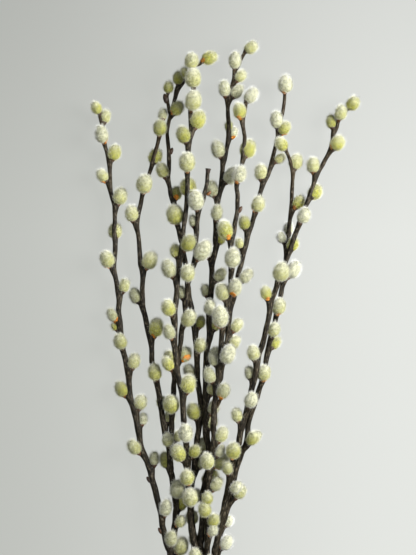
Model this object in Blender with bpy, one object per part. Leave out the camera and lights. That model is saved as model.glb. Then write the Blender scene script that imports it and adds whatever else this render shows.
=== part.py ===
"""A bunch of pussy willow branches, laid down on a table as it was picked: eight woody stems, two of
them forked on the way up and one at its tip, that carry furry catkins on raised nodes all the way up.

Run with: blender --background --python part.py

Each branch is one object: its bark tube, side shoots, node shoulders and catkins grew as one piece.
+X is the bunch's right, +Y runs from the cut ends to the tips, +Z is up from the table.
"""

import math
import random
from typing import NamedTuple

import bmesh
import bpy
from mathutils import Matrix, Vector

MM = 0.001

# Routes were read off the photograph, whose pixel is this long on the object.
PIXEL = 1.0 * MM
# The photograph's column and row that lie over the origin, the middle of the bunch.
MIDDLE_COLUMN = 224.95
MIDDLE_ROW = 374.74

# Bark: the radius grows from the tip down, fast at first.
TIP_RADIUS = 1.1 * MM
CURVE_STEP = 4 * MM
BUTT_GAIN = 2.2 * MM
GAIN_LENGTH = 180 * MM
# A stem keeps the points that lie this far off the straight line between its others.
BEND_KEPT = 1.0 * MM
STEM_SIDES_RESOLUTION = 1

# Catkins: furry eggs that lean out from the stem.
CATKIN_WIDTH_SHARE = (0.74, 0.84)
CATKIN_LEAN = (20.0, 32.0)
CATKIN_SEGMENTS = 6
# The egg's rings: how far along it each lies and its width there, as shares of the whole.
EGG_RINGS = ((0.18, 0.8), (0.45, 1.0), (0.78, 0.7))

# Shoulders: the raised wedge of wood that each catkin sits on.
SHOULDER_LENGTH = 9 * MM
SHOULDER_RISE = 2.0 * MM
SHOULDER_TOP_RADIUS = 2.4 * MM

# Bare buds: small pointed cones pressed to the stem.
BUD_LENGTH = 7.5 * MM
BUD_RADIUS = 1.7 * MM
BUD_LEAN = 16.0
BUD_SIDES = 4

# Room kept between branches, and how far a catkin may press flat on the table.
CATKIN_GAP = 0.5 * MM
MOST_PRESS = 3.0 * MM
SEED = 47

BARK_COLOR = (0.045, 0.028, 0.02)
DOWN_COLOR = (0.62, 0.63, 0.42)

# The sides of a stem, as degrees round it: right, front (up, off the table), left and back.
R, FR, F, FL, L, BL, B, BR = range(0, 360, 45)

TIP = "tip"


class Shoot(NamedTuple):
    """A stem or side shoot: the (column, row) points from its lower end to its tip, its (row, height in
    mm) off the table, the (row, side, length in mm) of each catkin and the (row, side) of each bare
    bud."""

    route: tuple
    heights: tuple
    catkins: tuple
    buds: tuple = ()


BRANCHES = {
    "branch_1": (
        Shoot(
            route=(
                (177, 706), (177.2, 650), (176.4, 600), (170.5, 556), (168, 548), (165, 537), (162.5, 525),
                (160, 510), (157, 498), (155, 490), (152, 480), (150, 471), (147, 462), (143, 453),
                (140.5, 445), (138.5, 433), (136, 421), (133.5, 410), (130, 397), (129, 385), (127.5, 372),
                (125, 360), (122.5, 348), (121, 336), (120, 324), (118.5, 312), (118.5, 300), (117, 287),
                (115, 276), (113.5, 266), (115, 250), (114, 232), (114.5, 220), (114, 207), (112, 198),
                (110, 187), (109.5, 172), (108, 160), (106, 150), (104, 142), (101, 123), (99, 113),
            ),
            heights=(
                (706, 3.3), (650, 6.8), (600, 12.3), (555, 17), (525, 17.5), (485, 15), (460, 14),
                (432, 13), (150, 13), (124, 14), (113, 15),
            ),
            catkins=(
                (546, FR, 17), (516, FR, 18), (468, R, 15), (452, FL, 17), (427, BR, 14), (411, R, 16),
                (396, L, 17), (370, R, 17), (348, F, 17), (330, L, 9), (321, L, 15), (293, R, 15),
                (267, FL, 18), (238, B, 17), (205, R, 18), (181, L, 15), (160, R, 17), (142, F, 19),
                (123, BR, 15), (TIP, FL, 14),
            ),
            buds=(
                (534, L), (483, L),
            ),
        ),
    ),
    "branch_2": (
        Shoot(
            route=(
                (169.9, 698), (170.6, 640), (172.2, 590), (174, 556), (174, 532), (175, 520), (176, 510),
                (175, 500), (173, 487), (171.3, 475), (170, 465), (169.5, 453), (170.5, 442), (171.5, 430),
                (171.8, 418), (172.5, 405), (173.5, 393), (174, 382), (176, 370), (178.5, 357),
                (180.5, 342), (182, 328), (184.5, 318), (186, 305), (187, 295), (188, 285), (190.5, 276),
                (193, 266), (195, 256), (196, 245), (197, 232), (197.5, 222), (199, 213), (202, 204),
                (205, 193), (206.5, 185), (208, 172),
            ),
            heights=(
                (698, 3.3), (640, 4.2), (590, 6), (545, 9), (510, 12), (478, 14), (450, 15), (392, 15),
                (362, 16), (325, 20), (293, 25), (262, 27), (230, 28), (213, 29), (195, 30), (172, 32),
            ),
            catkins=(
                (572, R, 16), (556, F, 19), (526, FR, 14), (512, R, 16), (497, FR, 20), (469, L, 18),
                (441, R, 13), (412, F, 20), (369, L, 19), (361, BR, 17), (324, F, 19), (300, BL, 15),
                (281, L, 18), (259, FR, 23), (228, BL, 14), (211, FL, 21),
            ),
            buds=(
                (375, L), (196, R), (TIP, F),
            ),
        ),
        Shoot(
            route=(
                (171.3, 476), (169.5, 453), (168, 445), (165.5, 435), (163.5, 425), (162, 415),
                (160.5, 405), (159, 395), (157, 385), (154, 372), (152, 360), (151, 345), (148, 332),
                (145.5, 320), (143, 308), (142.5, 298), (142, 272), (140, 262), (138.5, 238), (137, 225),
                (138, 215), (142, 196), (145, 185), (150, 171), (154, 155), (158, 142), (160, 134),
                (162, 120),
            ),
            heights=(
                (476, 14), (445, 14.5), (402, 14), (380, 13), (172, 13), (155, 14), (135, 15), (120, 16),
            ),
            catkins=(
                (446, F, 15), (425, BR, 16), (408, B, 13), (380, F, 18), (338, R, 20), (303, L, 18),
                (269, R, 19), (222, L, 17), (192, F, 20), (163, B, 18), (135, F, 17), (TIP, B, 14),
            ),
        ),
    ),
    "branch_3": (
        Shoot(
            route=(
                (184, 704), (186, 640), (190.5, 590), (194, 556), (194, 543), (192.5, 532), (191, 520),
                (190.5, 505), (191, 492), (192.5, 480), (194.3, 470), (195.3, 457), (197, 442),
                (198.5, 430), (200, 420), (201, 405), (200, 396), (198, 384), (197, 370), (196.7, 358),
                (196, 345), (194.5, 332), (193, 320), (191, 307), (189, 295), (187.5, 282), (186, 268),
                (184, 256), (182, 246), (179.5, 234), (177, 222), (174, 207), (171, 197), (169.5, 187),
                (168, 177), (169, 168), (168.5, 150), (167.5, 140), (167, 130), (169, 120), (171, 113),
                (170, 113), (168, 104), (167, 96), (168, 92),
            ),
            heights=(
                (704, 3.3), (640, 4.2), (590, 6), (545, 9), (510, 11.5), (480, 12), (178, 12), (132, 12.5),
                (117, 13), (90, 14),
            ),
            catkins=(
                (548, L, 17), (527, L, 16), (504, R, 21), (470, BR, 15), (455, BR, 19), (420, F, 18),
                (379, L, 17), (352, FR, 16), (329, R, 14), (223, F, 21), (200, BR, 15), (177, L, 16),
                (TIP, F, 13),
            ),
            buds=(
                (154, R), (103, L),
            ),
        ),
        Shoot(
            route=(
                (169, 120), (171, 113), (173, 106), (175, 98), (178, 90), (183, 83), (185, 78),
            ),
            heights=(
                (120, 12.8), (106, 14.5), (93, 16.5), (78, 18.5),
            ),
            catkins=(
                (113, FR, 16), (86, L, 14),
            ),
            buds=(
                (TIP, F),
            ),
        ),
    ),
    "branch_4": (
        Shoot(
            route=(
                (191, 700), (192.8, 640), (195.5, 590), (196, 556), (193, 537), (191, 525), (190.5, 510),
                (190, 497), (189, 487), (188.3, 475), (187.5, 462), (186.5, 450), (186, 438), (184.5, 425),
                (183.5, 413), (183, 402), (181.5, 390), (179.5, 380), (177.5, 370), (176.5, 360),
                (175, 345), (175, 320), (175.5, 308), (176.5, 297), (177.3, 285), (178.5, 272),
                (180.5, 260), (182, 247), (183, 235), (184.5, 222), (186, 210), (187.5, 198), (187.5, 173),
                (188, 162), (188.5, 152), (190, 143), (191, 132), (190.5, 122), (190.5, 112), (192, 104),
                (193.5, 95), (193, 86), (191, 76), (191, 68), (196, 66.5), (200, 65), (202.5, 62.5),
            ),
            heights=(
                (700, 3.3), (640, 8), (590, 13), (550, 17.5), (515, 22.5), (480, 26), (450, 28), (420, 29),
                (370, 30), (335, 30), (272, 29), (245, 28), (215, 27), (180, 26), (150, 25), (105, 24),
                (80, 24.5), (61, 27),
            ),
            catkins=(
                (560, F, 17), (503, F, 19), (481, FL, 17), (459, L, 19), (456, R, 14), (439, F, 20),
                (393, R, 19), (369, L, 16), (338, FL, 16), (315, FL, 18), (278, L, 20), (258, BL, 15),
                (250, R, 18), (195, B, 20), (172, F, 20), (144, L, 18), (129, R, 20), (111, L, 21),
                (88, F, 20), (79, L, 13), (69, F, 17), (TIP, R, 17),
            ),
        ),
    ),
    "branch_5": (
        Shoot(
            route=(
                (204.8, 708), (205.9, 650), (207.1, 600), (207, 556), (208, 530), (207, 515), (206.5, 500),
                (208, 485), (209.5, 473), (211, 461), (212.5, 450), (213.8, 438), (213.5, 425),
                (213.8, 410), (215.5, 397), (217, 386), (219, 374), (220.5, 362), (221, 350), (221.5, 338),
                (223.5, 327), (226, 316), (227.5, 307), (229.5, 298), (230.5, 285), (231, 272), (231, 249),
                (232.5, 238), (234.3, 228), (236, 218), (237.3, 208), (237.3, 196), (236.5, 186),
                (239, 178), (241, 169), (242.5, 158), (243.5, 148), (244.5, 138), (243.8, 132), (243, 123),
                (244, 115), (245.5, 108), (246, 103),
            ),
            heights=(
                (708, 3.3), (650, 7), (600, 11.3), (550, 16.5), (510, 21), (475, 24), (447, 26), (418, 27),
                (262, 27), (232, 26.5), (207, 26), (168, 25.5), (96, 25.5),
            ),
            catkins=(
                (562, FR, 17), (534, FR, 14), (525, FR, 15), (514, FL, 17), (502, F, 15), (489, R, 16),
                (467, FL, 18), (455, R, 14), (441, R, 17), (383, L, 17), (366, L, 12), (362, FR, 21),
                (327, FL, 23), (301, L, 18), (267, F, 21), (240, L, 20), (183, F, 18), (157, BR, 20),
                (120, FL, 17), (TIP, R, 18),
            ),
            buds=(
                (213, R),
            ),
        ),
        Shoot(
            route=(
                (218.3, 384), (222.5, 365), (225, 352), (227, 340), (228.3, 327), (229.5, 315),
                (231.5, 305), (234.5, 295), (236, 285), (238, 275), (240, 267), (243, 257), (245.3, 247),
                (247.5, 238), (250, 229), (253, 220), (256, 211), (259, 200), (261, 191), (264, 183),
                (268, 175), (270.5, 166), (273.3, 156), (275.5, 147), (277.5, 138), (279, 129), (281, 119),
                (283.2, 110), (284.5, 100), (285, 92),
            ),
            heights=(
                (384, 26.5), (365, 25), (340, 22.5), (295, 22), (272, 22.5), (252, 22), (235, 21),
                (215, 20), (195, 18), (179, 16), (166, 15), (150, 14), (130, 13.5), (92, 14),
            ),
            catkins=(
                (347, R, 15), (331, R, 16), (295, F, 19), (281, R, 17), (250, L, 12), (231, L, 15),
                (212, F, 17), (181, L, 17), (161, R, 13), (133, FR, 15), (128, FL, 18), (TIP, F, 19),
            ),
        ),
        Shoot(
            route=(
                (215.5, 409), (218.5, 403), (221, 397),
            ),
            heights=(
                (409, 27), (397, 27.5),
            ),
            catkins=(
                (TIP, F, 17),
            ),
        ),
    ),
    "branch_6": (
        Shoot(
            route=(
                (198.1, 696), (199.6, 640), (200.8, 590), (201, 556), (200.5, 543), (201.5, 530),
                (203, 515), (203, 500), (204.5, 486), (208, 472), (209.5, 460), (209, 450), (207, 440),
                (205, 426), (205.5, 413), (205.5, 387), (206, 363), (207, 352), (208.5, 342), (209.5, 331),
                (209, 320), (209.5, 308), (210.5, 297), (211.5, 287), (211.8, 275), (212.5, 264),
                (214, 255), (215.5, 245), (215.8, 223), (217, 212), (218.5, 199), (220.5, 189), (222, 178),
                (222.5, 167), (225, 158), (227, 147), (228.5, 135), (229, 125), (228, 115), (228, 105),
                (229.5, 95), (231.5, 86), (234, 78), (236, 70), (239, 65), (241.5, 58), (245.5, 51.5),
            ),
            heights=(
                (696, 3.3), (640, 4.5), (590, 8), (550, 12.5), (500, 12.5), (470, 13.5), (440, 16),
                (418, 17.5), (395, 17), (365, 14), (340, 13), (100, 13), (86, 13.5), (70, 15), (58, 16.5),
                (51, 17.3),
            ),
            catkins=(
                (537, FR, 17), (488, BL, 20), (466, F, 19), (430, BL, 17), (414, F, 20), (395, FR, 16),
                (361, F, 16), (331, BR, 15), (314, F, 17), (297, BL, 14), (281, R, 16), (259, L, 15),
                (244, BR, 14), (220, F, 17), (197, L, 18), (182, R, 20), (158, L, 19), (137, BR, 14),
                (130, B, 12), (96, R, 16), (97, L, 17), (80, R, 14), (69, FL, 18), (TIP, R, 15),
            ),
        ),
    ),
    "branch_7": (
        Shoot(
            route=(
                (211.8, 703), (213, 650), (214.2, 600), (214.5, 556), (216, 546), (218, 535), (220.5, 523),
                (223, 511), (225.5, 500), (228, 490), (229.5, 480), (231.5, 468), (234.5, 456), (238, 446),
                (239.5, 438), (241, 430), (243.5, 420), (246.5, 410), (248.5, 401), (251, 391),
                (253.5, 382), (255.5, 372), (257, 363), (258.5, 354), (262, 344), (265.3, 332),
                (267.5, 321), (269, 311), (271, 301), (274.5, 292), (277.5, 282), (281, 271), (285.5, 261),
                (288.5, 253), (291.5, 245), (294, 237), (296.5, 230), (299, 223), (302, 215), (305, 207),
                (308.5, 198), (311, 191), (313.5, 184), (316, 177), (319, 171), (322.5, 165), (325.5, 159),
                (328.5, 153), (331, 147), (332.5, 140), (334, 134), (337, 127), (339, 119.5), (344.5, 113),
                (348.5, 108),
            ),
            heights=(
                (703, 3.3), (650, 7.5), (600, 12), (550, 17), (512, 21), (490, 22.5), (468, 24), (447, 25),
                (412, 26), (388, 26.5), (365, 27), (240, 27), (220, 25), (197, 22), (178, 20), (161, 18),
                (147, 16.5), (132, 15), (119, 14.5), (108, 15.5),
            ),
            catkins=(
                (490, FR, 15), (473, BL, 14), (457, FL, 18), (422, L, 15), (405, F, 17), (380, BL, 15),
                (360, FL, 16), (301, L, 15), (280, F, 20), (250, B, 15), (223, F, 17), (197, BR, 18),
                (175, L, 17), (149, FR, 17), (129, L, 15), (120, F, 16), (TIP, F, 16),
            ),
        ),
    ),
    "branch_8": (
        Shoot(
            route=(
                (218.8, 700), (220, 640), (219.6, 590), (217, 556), (218, 546), (220, 535), (223.5, 522),
                (226, 513), (228.5, 506), (231.5, 498), (233, 488), (234.5, 476), (237, 467), (240, 459),
                (243, 451), (246, 445), (247.5, 436), (248, 427), (250.5, 417), (253, 409), (256, 400),
                (259.5, 390), (262.8, 380), (265.3, 366), (267, 356), (269, 346), (271.3, 337), (274, 327),
                (276, 317), (278.5, 306), (280.5, 297), (282, 288), (284, 279), (285.5, 265), (286.5, 253),
                (287.5, 242), (289, 233), (289.7, 225), (290.5, 216), (291.3, 207), (292, 197),
                (292.5, 185), (292.3, 173), (291, 165), (288.5, 157), (285, 150),
            ),
            heights=(
                (700, 3.3), (640, 4.3), (590, 6), (550, 8), (515, 10.5), (490, 12), (230, 12), (208, 13),
                (185, 15.5), (169, 19), (158, 22), (150, 25),
            ),
            catkins=(
                (572, FR, 16), (549, FR, 17), (528, BR, 14), (498, FR, 16), (444, FR, 16), (443, R, 15),
                (380, F, 17), (348, BR, 15), (336, F, 16), (314, F, 18), (277, R, 20), (243, F, 13),
                (234, B, 15), (208, R, 16), (170, BR, 17), (TIP, FL, 16),
            ),
            buds=(
                (476, L),
            ),
        ),
    ),
}


def height_at(heights, row):
    """The height in mm at a row, read off a shoot's (row, height) list."""
    lower = heights[0]
    for upper in heights[1:]:
        if row >= upper[0]:
            t = (lower[0] - row) / (lower[0] - upper[0])
            t = min(1, max(0, t))
            return lower[1] + t * (upper[1] - lower[1])
        lower = upper
    return lower[1]


def at(column, row, height):
    """The point of the bunch that the photograph shows at a column and row, height mm off the table."""
    across = (column - MIDDLE_COLUMN) * PIXEL
    along = (MIDDLE_ROW - row) * PIXEL
    return Vector((across, along, height * MM))


def smooth_line(points, step):
    """Points about a step apart on the Catmull-Rom curve through the given ones."""
    ends = [2 * points[0] - points[1], *points, 2 * points[-1] - points[-2]]
    line = [points[0]]
    for before, start, end, after in zip(ends, ends[1:], ends[2:], ends[3:]):
        pieces = max(1, math.ceil((end - start).length / step))
        for piece in range(1, pieces + 1):
            t = piece / pieces
            bend = 2 * before - 5 * start + 4 * end - after
            twist = 3 * start - 3 * end + after - before
            line.append(start + 0.5 * t * ((end - before) + t * (bend + t * twist)))
    return line


def thinned(line, kept):
    """The ends of a line and those of its points that lie further than kept off the line without
    them."""
    if len(line) < 3:
        return line
    offs = [distance_to_segment(point, line[0], line[-1]) for point in line]
    far = max(range(len(line)), key=offs.__getitem__)
    if offs[far] < kept:
        return [line[0], line[-1]]
    return thinned(line[: far + 1], kept)[:-1] + thinned(line[far:], kept)


def distance_to_segment(point, start, end):
    """How far a point lies from a straight stretch."""
    stretch = end - start
    t = (point - start).dot(stretch) / stretch.length_squared
    return (point - start - min(1.0, max(0.0, t)) * stretch).length


class Stem:
    """A shoot's centre line with its radius at each point."""

    def __init__(self, shoot):
        points = [at(column, row, height_at(shoot.heights, row)) for column, row in shoot.route]
        self.line = thinned(smooth_line(points, CURVE_STEP), BEND_KEPT)
        left = [0.0]
        for upper, lower in zip(self.line[::-1], self.line[-2::-1]):
            left.append(left[-1] + (upper - lower).length)
        self.radii = [
            TIP_RADIUS + BUTT_GAIN * (1 - math.exp(-d / GAIN_LENGTH)) for d in reversed(left)
        ]

    def at_row(self, row):
        """(point, direction to the tip, radius) where the stem passes a row, or at its tip."""
        if row == TIP:
            return self.line[-1], (self.line[-1] - self.line[-2]).normalized(), self.radii[-1]
        along = at(0, row, 0).y
        for low, high, low_radius, high_radius in zip(self.line, self.line[1:], self.radii, self.radii[1:]):
            if low.y <= along <= high.y:
                t = (along - low.y) / (high.y - low.y)
                radius = low_radius + t * (high_radius - low_radius)
                return low.lerp(high, t), (high - low).normalized(), radius
        raise ValueError(f"the stem doesn't reach row {row}")


class Catkin:
    """One catkin's place: where it sits on its stem, which way it points and how big it is."""

    def __init__(self, stem, row, side, lean, length, width):
        self.node, self.up, self.stem_radius = stem.at_row(row)
        bearing = math.radians(side)
        out = Vector((math.cos(bearing), 0, math.sin(bearing)))
        self.out = (out - out.dot(self.up) * self.up).normalized()
        tilt = math.radians(lean)
        self.axis = (math.cos(tilt) * self.up + math.sin(tilt) * self.out).normalized()
        rise = 0 if row == TIP else self.stem_radius + SHOULDER_RISE
        self.base = self.node + rise * self.out
        self.length = length
        self.width = width
        self.centre = self.base + length / 2 * self.axis

    def balls(self):
        """Three balls that fill it, as (centre, radius)."""
        return [
            (self.centre + share * self.length * self.axis, fill * self.width / 2)
            for share, fill in ((-0.22, 0.95), (0.0, 1.0), (0.24, 0.88))
        ]


def is_clear(catkin, other_stems, other_balls):
    """Whether a catkin keeps its gap to the other branches and doesn't press too hard on the table."""
    for centre, radius in catkin.balls():
        if centre.z - radius < -MOST_PRESS:
            return False
        for stem in other_stems:
            for start, end, thick in zip(stem.line, stem.line[1:], stem.radii):
                near = radius + thick + CATKIN_GAP
                if not start.y - near < centre.y < end.y + near:
                    continue
                if distance_to_segment(centre, start, end) < near:
                    return False
        for other, other_radius in other_balls:
            if (centre - other).length < radius + other_radius + CATKIN_GAP:
                return False
    return True


def placed(stem, row, side, length, draw, other_stems, other_balls):
    """The catkin of one node, turned round its stem, leant or made smaller until it is clear."""
    width = length * draw.uniform(*CATKIN_WIDTH_SHARE)
    lean = draw.uniform(*CATKIN_LEAN)
    side += draw.uniform(-10, 10)
    for scale in (1.0, 0.9, 0.8, 0.7):
        for more_lean in (0, 14, -14):
            for turn in (0, 12, -12, 25, -25, 40, -40, 60, -60, 90, -90):
                catkin = Catkin(stem, row, side + turn, lean + more_lean, scale * length, scale * width)
                if is_clear(catkin, other_stems, other_balls):
                    return catkin
    return None


def plan():
    """Every branch's stems and catkins, as {name: (stems, catkins)}. A catkin that finds no room is
    left off."""
    stems = {name: [Stem(shoot) for shoot in shoots] for name, shoots in BRANCHES.items()}
    balls = {name: [] for name in BRANCHES}
    catkins = {name: [] for name in BRANCHES}
    draw = random.Random(SEED)
    for name, shoots in BRANCHES.items():
        other_stems = [stem for other in stems if other != name for stem in stems[other]]
        for stem, shoot in zip(stems[name], shoots):
            for row, side, length in shoot.catkins:
                other_balls = [ball for other in balls if other != name for ball in balls[other]]
                catkin = placed(stem, row, side, length * MM, draw, other_stems, other_balls)
                if catkin:
                    catkins[name].append(catkin)
                    balls[name] += catkin.balls()
                else:
                    print("no room:", name, row)
    return {name: (stems[name], catkins[name]) for name in BRANCHES}


def mesh_of_curve(curve_object):
    """A mesh object in a curve's place, with its caps welded on."""
    graph = bpy.context.evaluated_depsgraph_get()
    mesh = bpy.data.meshes.new_from_object(curve_object.evaluated_get(graph))
    shape = bmesh.new()
    shape.from_mesh(mesh)
    bmesh.ops.remove_doubles(shape, verts=shape.verts, dist=0.00001)
    shape.to_mesh(mesh)
    shape.free()
    made = bpy.data.objects.new(curve_object.name + "_mesh", mesh)
    made.matrix_world = curve_object.matrix_world
    bpy.data.objects.remove(curve_object)
    return made


def stem_tube(name, stem, collection, material):
    """A tapered bark tube along a stem's line."""
    curve = bpy.data.curves.new(name, "CURVE")
    curve.dimensions = "3D"
    curve.bevel_depth = 1.0
    curve.bevel_resolution = STEM_SIDES_RESOLUTION
    curve.use_fill_caps = True
    spline = curve.splines.new("POLY")
    spline.points.add(len(stem.line) - 1)
    for point, place, radius in zip(spline.points, stem.line, stem.radii):
        point.co = (*place, 1.0)
        point.radius = radius
    drawn = bpy.data.objects.new(name, curve)
    collection.objects.link(drawn)
    tube = mesh_of_curve(drawn)
    tube.data.materials.append(material)
    collection.objects.link(tube)
    return tube


def turn_to(direction):
    """The rotation that turns +Z to a direction."""
    return direction.to_track_quat("Z", "Y").to_matrix()


def catkin_body(name, catkin, collection, bark, down):
    """A catkin on its shoulder: a sphere whose lowest point is moved into the stem's middle, its first
    ring to the top of the shoulder and its others along the egg."""
    low = catkin.node - SHOULDER_LENGTH * catkin.up
    shoulder_radius = min(SHOULDER_TOP_RADIUS, 1.25 * catkin.stem_radius)
    places = [(low, 0.0), (catkin.base, shoulder_radius)]
    places += [
        (catkin.base + share * catkin.length * catkin.axis, width * catkin.width / 2)
        for share, width in EGG_RINGS
    ]
    places.append((catkin.base + catkin.length * catkin.axis, 0.0))
    shape = bmesh.new()
    rings = len(places) - 1
    bmesh.ops.create_uvsphere(shape, u_segments=CATKIN_SEGMENTS, v_segments=rings, radius=1.0)
    turn = turn_to(catkin.axis)
    for vertex in shape.verts:
        ring = round((1 - math.acos(max(-1.0, min(1.0, vertex.co.z))) / math.pi) * rings)
        bearing = math.atan2(vertex.co.y, vertex.co.x)
        if ring % 2:
            bearing += math.pi / CATKIN_SEGMENTS
        centre, radius = places[ring]
        vertex.co = centre + turn @ Vector((math.cos(bearing), math.sin(bearing), 0)) * radius
    made = mesh_object(name, shape, collection, bark)
    made.data.materials.append(down)
    for face in made.data.polygons:
        if (face.center - catkin.base).dot(catkin.axis) > 0:
            face.material_index = 1
    return made


def bud(name, stem, row, side, collection, material):
    """A bare bud: a pointed cone that leans out from the stem, or carries on its tip."""
    node, up, radius = stem.at_row(row)
    bearing = math.radians(side)
    out = Vector((math.cos(bearing), 0, math.sin(bearing)))
    lean = math.radians(BUD_LEAN)
    axis = up if row == TIP else math.cos(lean) * up + math.sin(lean) * out
    low = node - 0.25 * BUD_LENGTH * up if row == TIP else node + 0.35 * radius * out
    shape = bmesh.new()
    bmesh.ops.create_cone(
        shape,
        cap_ends=True,
        segments=BUD_SIDES,
        radius1=BUD_RADIUS,
        radius2=0.2 * BUD_RADIUS,
        depth=BUD_LENGTH,
    )
    shape.transform(Matrix.Translation(low + BUD_LENGTH / 2 * axis) @ turn_to(axis).to_4x4())
    return mesh_object(name, shape, collection, material)


def mesh_object(name, shape, collection, material):
    """An object of a finished bmesh, linked to a collection."""
    mesh = bpy.data.meshes.new(name)
    shape.to_mesh(mesh)
    shape.free()
    mesh.materials.append(material)
    made = bpy.data.objects.new(name, mesh)
    collection.objects.link(made)
    return made


def fill_pockets(mesh):
    """Leave only a mesh's outer surface, so that no pocket stays shut in where pieces met."""
    shape = bmesh.new()
    shape.from_mesh(mesh)
    unseen = set(shape.faces)
    surfaces = []
    while unseen:
        reached = [unseen.pop()]
        for face in reached:
            for edge in face.edges:
                for other in edge.link_faces:
                    if other in unseen:
                        unseen.remove(other)
                        reached.append(other)
        surfaces.append(reached)
    outer = max(surfaces, key=len)
    inner = [face for surface in surfaces if surface is not outer for face in surface]
    bmesh.ops.delete(shape, geom=inner, context="FACES")
    shape.to_mesh(mesh)
    shape.free()


def plain_material(name, color, roughness):
    """A material of one colour, neither metal nor glass."""
    material = bpy.data.materials.new(name)
    material.use_nodes = True
    shader = material.node_tree.nodes["Principled BSDF"]
    shader.inputs["Base Color"].default_value = (*color, 1)
    shader.inputs["Roughness"].default_value = roughness
    shader.inputs["Metallic"].default_value = 0.0
    return material


def table_cutter(collection):
    """A block under the table top, which presses what reaches it flat."""
    size = 2.0
    bpy.ops.mesh.primitive_cube_add(size=size, location=(0, 0, -size / 2))
    table = bpy.context.object
    table.name = "table_cutter"
    for holder in table.users_collection:
        holder.objects.unlink(table)
    collection.objects.link(table)
    table.hide_render = True
    table.display_type = "WIRE"
    return table


def build_branch(name, shoots, stems, catkins, collection, table, bark, down):
    """One branch: its tube, joined with its side shoots, shoulders, catkins and buds, on the table."""
    grown = bpy.data.collections.new(name + "_grown")
    bpy.context.scene.collection.children.link(grown)
    for number, stem in enumerate(stems[1:], 1):
        stem_tube(f"{name}_shoot_{number}", stem, grown, bark)
    for number, catkin in enumerate(catkins):
        catkin_body(f"{name}_catkin_{number}", catkin, grown, bark, down)
    for number, (shoot, stem) in enumerate(zip(shoots, stems)):
        for row, side in shoot.buds:
            bud(f"{name}_bud_{number}_{row}", stem, row, side, grown, bark)
    branch = stem_tube(name, stems[0], collection, bark)
    branch.name = name
    join = branch.modifiers.new("join", "BOOLEAN")
    join.operation = "UNION"
    join.operand_type = "COLLECTION"
    join.collection = grown
    join.material_mode = "TRANSFER"
    rest = branch.modifiers.new("rest", "BOOLEAN")
    rest.operation = "DIFFERENCE"
    rest.object = table
    bpy.context.view_layer.update()
    graph = bpy.context.evaluated_depsgraph_get()
    joined = bpy.data.meshes.new_from_object(branch.evaluated_get(graph))
    branch.modifiers.clear()
    fill_pockets(joined)
    branch.data = joined
    for piece in list(grown.objects):
        bpy.data.objects.remove(piece)
    bpy.data.collections.remove(grown)
    branch.data.shade_smooth()
    branch.data.set_sharp_from_angle(angle=math.radians(60))
    return branch


def main():
    for old in list(bpy.data.objects):
        bpy.data.objects.remove(old)
    bunch = bpy.data.collections.new("willow_bunch")
    cutters = bpy.data.collections.new("cutters")
    bpy.context.scene.collection.children.link(bunch)
    bpy.context.scene.collection.children.link(cutters)
    table = table_cutter(cutters)
    bark = plain_material("bark", BARK_COLOR, 0.55)
    down = plain_material("down", DOWN_COLOR, 0.9)
    for name, (stems, catkins) in plan().items():
        build_branch(name, BRANCHES[name], stems, catkins, bunch, table, bark, down)


main()
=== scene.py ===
"""A bunch of pussy willow branches laid on a pale table, seen from straight above.

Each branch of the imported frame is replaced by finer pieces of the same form: its wood with raised
shoulders and cut ends, the catkins' green cores, the silver down on them, and their bud scales.
"""

import logging
import math
from dataclasses import dataclass, field
from enum import Enum
from random import Random
from typing import Dict, List, Optional, Sequence, Tuple, Union

import bpy
import numpy as np
from bpy.types import Material, Object
from bpy.types import NodeOutputs as Outputs
from bpy.types import NodeSocket as Socket
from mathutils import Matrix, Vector

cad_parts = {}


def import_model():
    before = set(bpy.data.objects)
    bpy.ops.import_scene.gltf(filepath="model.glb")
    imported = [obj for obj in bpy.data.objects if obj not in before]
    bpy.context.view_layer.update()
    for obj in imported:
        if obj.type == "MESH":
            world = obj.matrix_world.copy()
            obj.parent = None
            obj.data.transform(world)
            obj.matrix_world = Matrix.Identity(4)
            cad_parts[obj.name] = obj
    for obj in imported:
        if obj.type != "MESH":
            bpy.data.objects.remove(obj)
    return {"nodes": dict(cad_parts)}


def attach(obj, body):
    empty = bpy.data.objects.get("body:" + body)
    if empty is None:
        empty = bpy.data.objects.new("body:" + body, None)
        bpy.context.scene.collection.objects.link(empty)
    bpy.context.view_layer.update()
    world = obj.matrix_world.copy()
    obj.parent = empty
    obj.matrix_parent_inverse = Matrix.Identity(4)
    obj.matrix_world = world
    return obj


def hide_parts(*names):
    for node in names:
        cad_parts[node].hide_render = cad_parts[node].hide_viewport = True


LOG = logging.getLogger("willow_bunch")

MM = 0.001
# Routes were read off the photograph, whose pixel is this long on the object.
PIXEL = 1.0 * MM
# The photograph's column and row that lie over the origin, and the size of its frame.
MIDDLE_COLUMN = 224.95
MIDDLE_ROW = 374.74
FRAME_COLUMNS = 416
FRAME_ROWS = 555

TABLE_CLEARANCE = 0.25 * MM
SEED = 47

Row = Union[float, str]
Profile = Tuple[Tuple[float, float], ...]
Value = Union[float, str, tuple, Socket]
TIP = "tip"


class Side(Enum):
    """The side of a stem that a catkin or bud grows on, as degrees round it from the right."""

    RIGHT = 0
    FRONT_RIGHT = 45
    FRONT = 90
    FRONT_LEFT = 135
    LEFT = 180
    BACK_LEFT = 225
    BACK = 270
    BACK_RIGHT = 315


R, FR, F, FL, L, BL, B, BR = Side


class Tone(Enum):
    """A catkin's tint, green to silver by how far it has come out, its painted shading and its slimness."""

    WHITE = (0.97, 0.0, 0.97)
    SILVER = (0.84, 0.05, 0.93)
    PALE = (0.44, 0.0, 1.0)
    GREEN = (0.1, 0.0, 1.0)
    # Painted shading: the last three are SILVER, PALE and GREEN drawn darker, for catkins lying in shadow.
    GREY = (0.8, 0.5, 0.95)
    DULL = (0.4, 0.4, 1.0)
    OLIVE = (0.08, 0.6, 1.0)


WHITE, SILVER, PALE, GREEN, GREY, DULL, OLIVE = Tone


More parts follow.
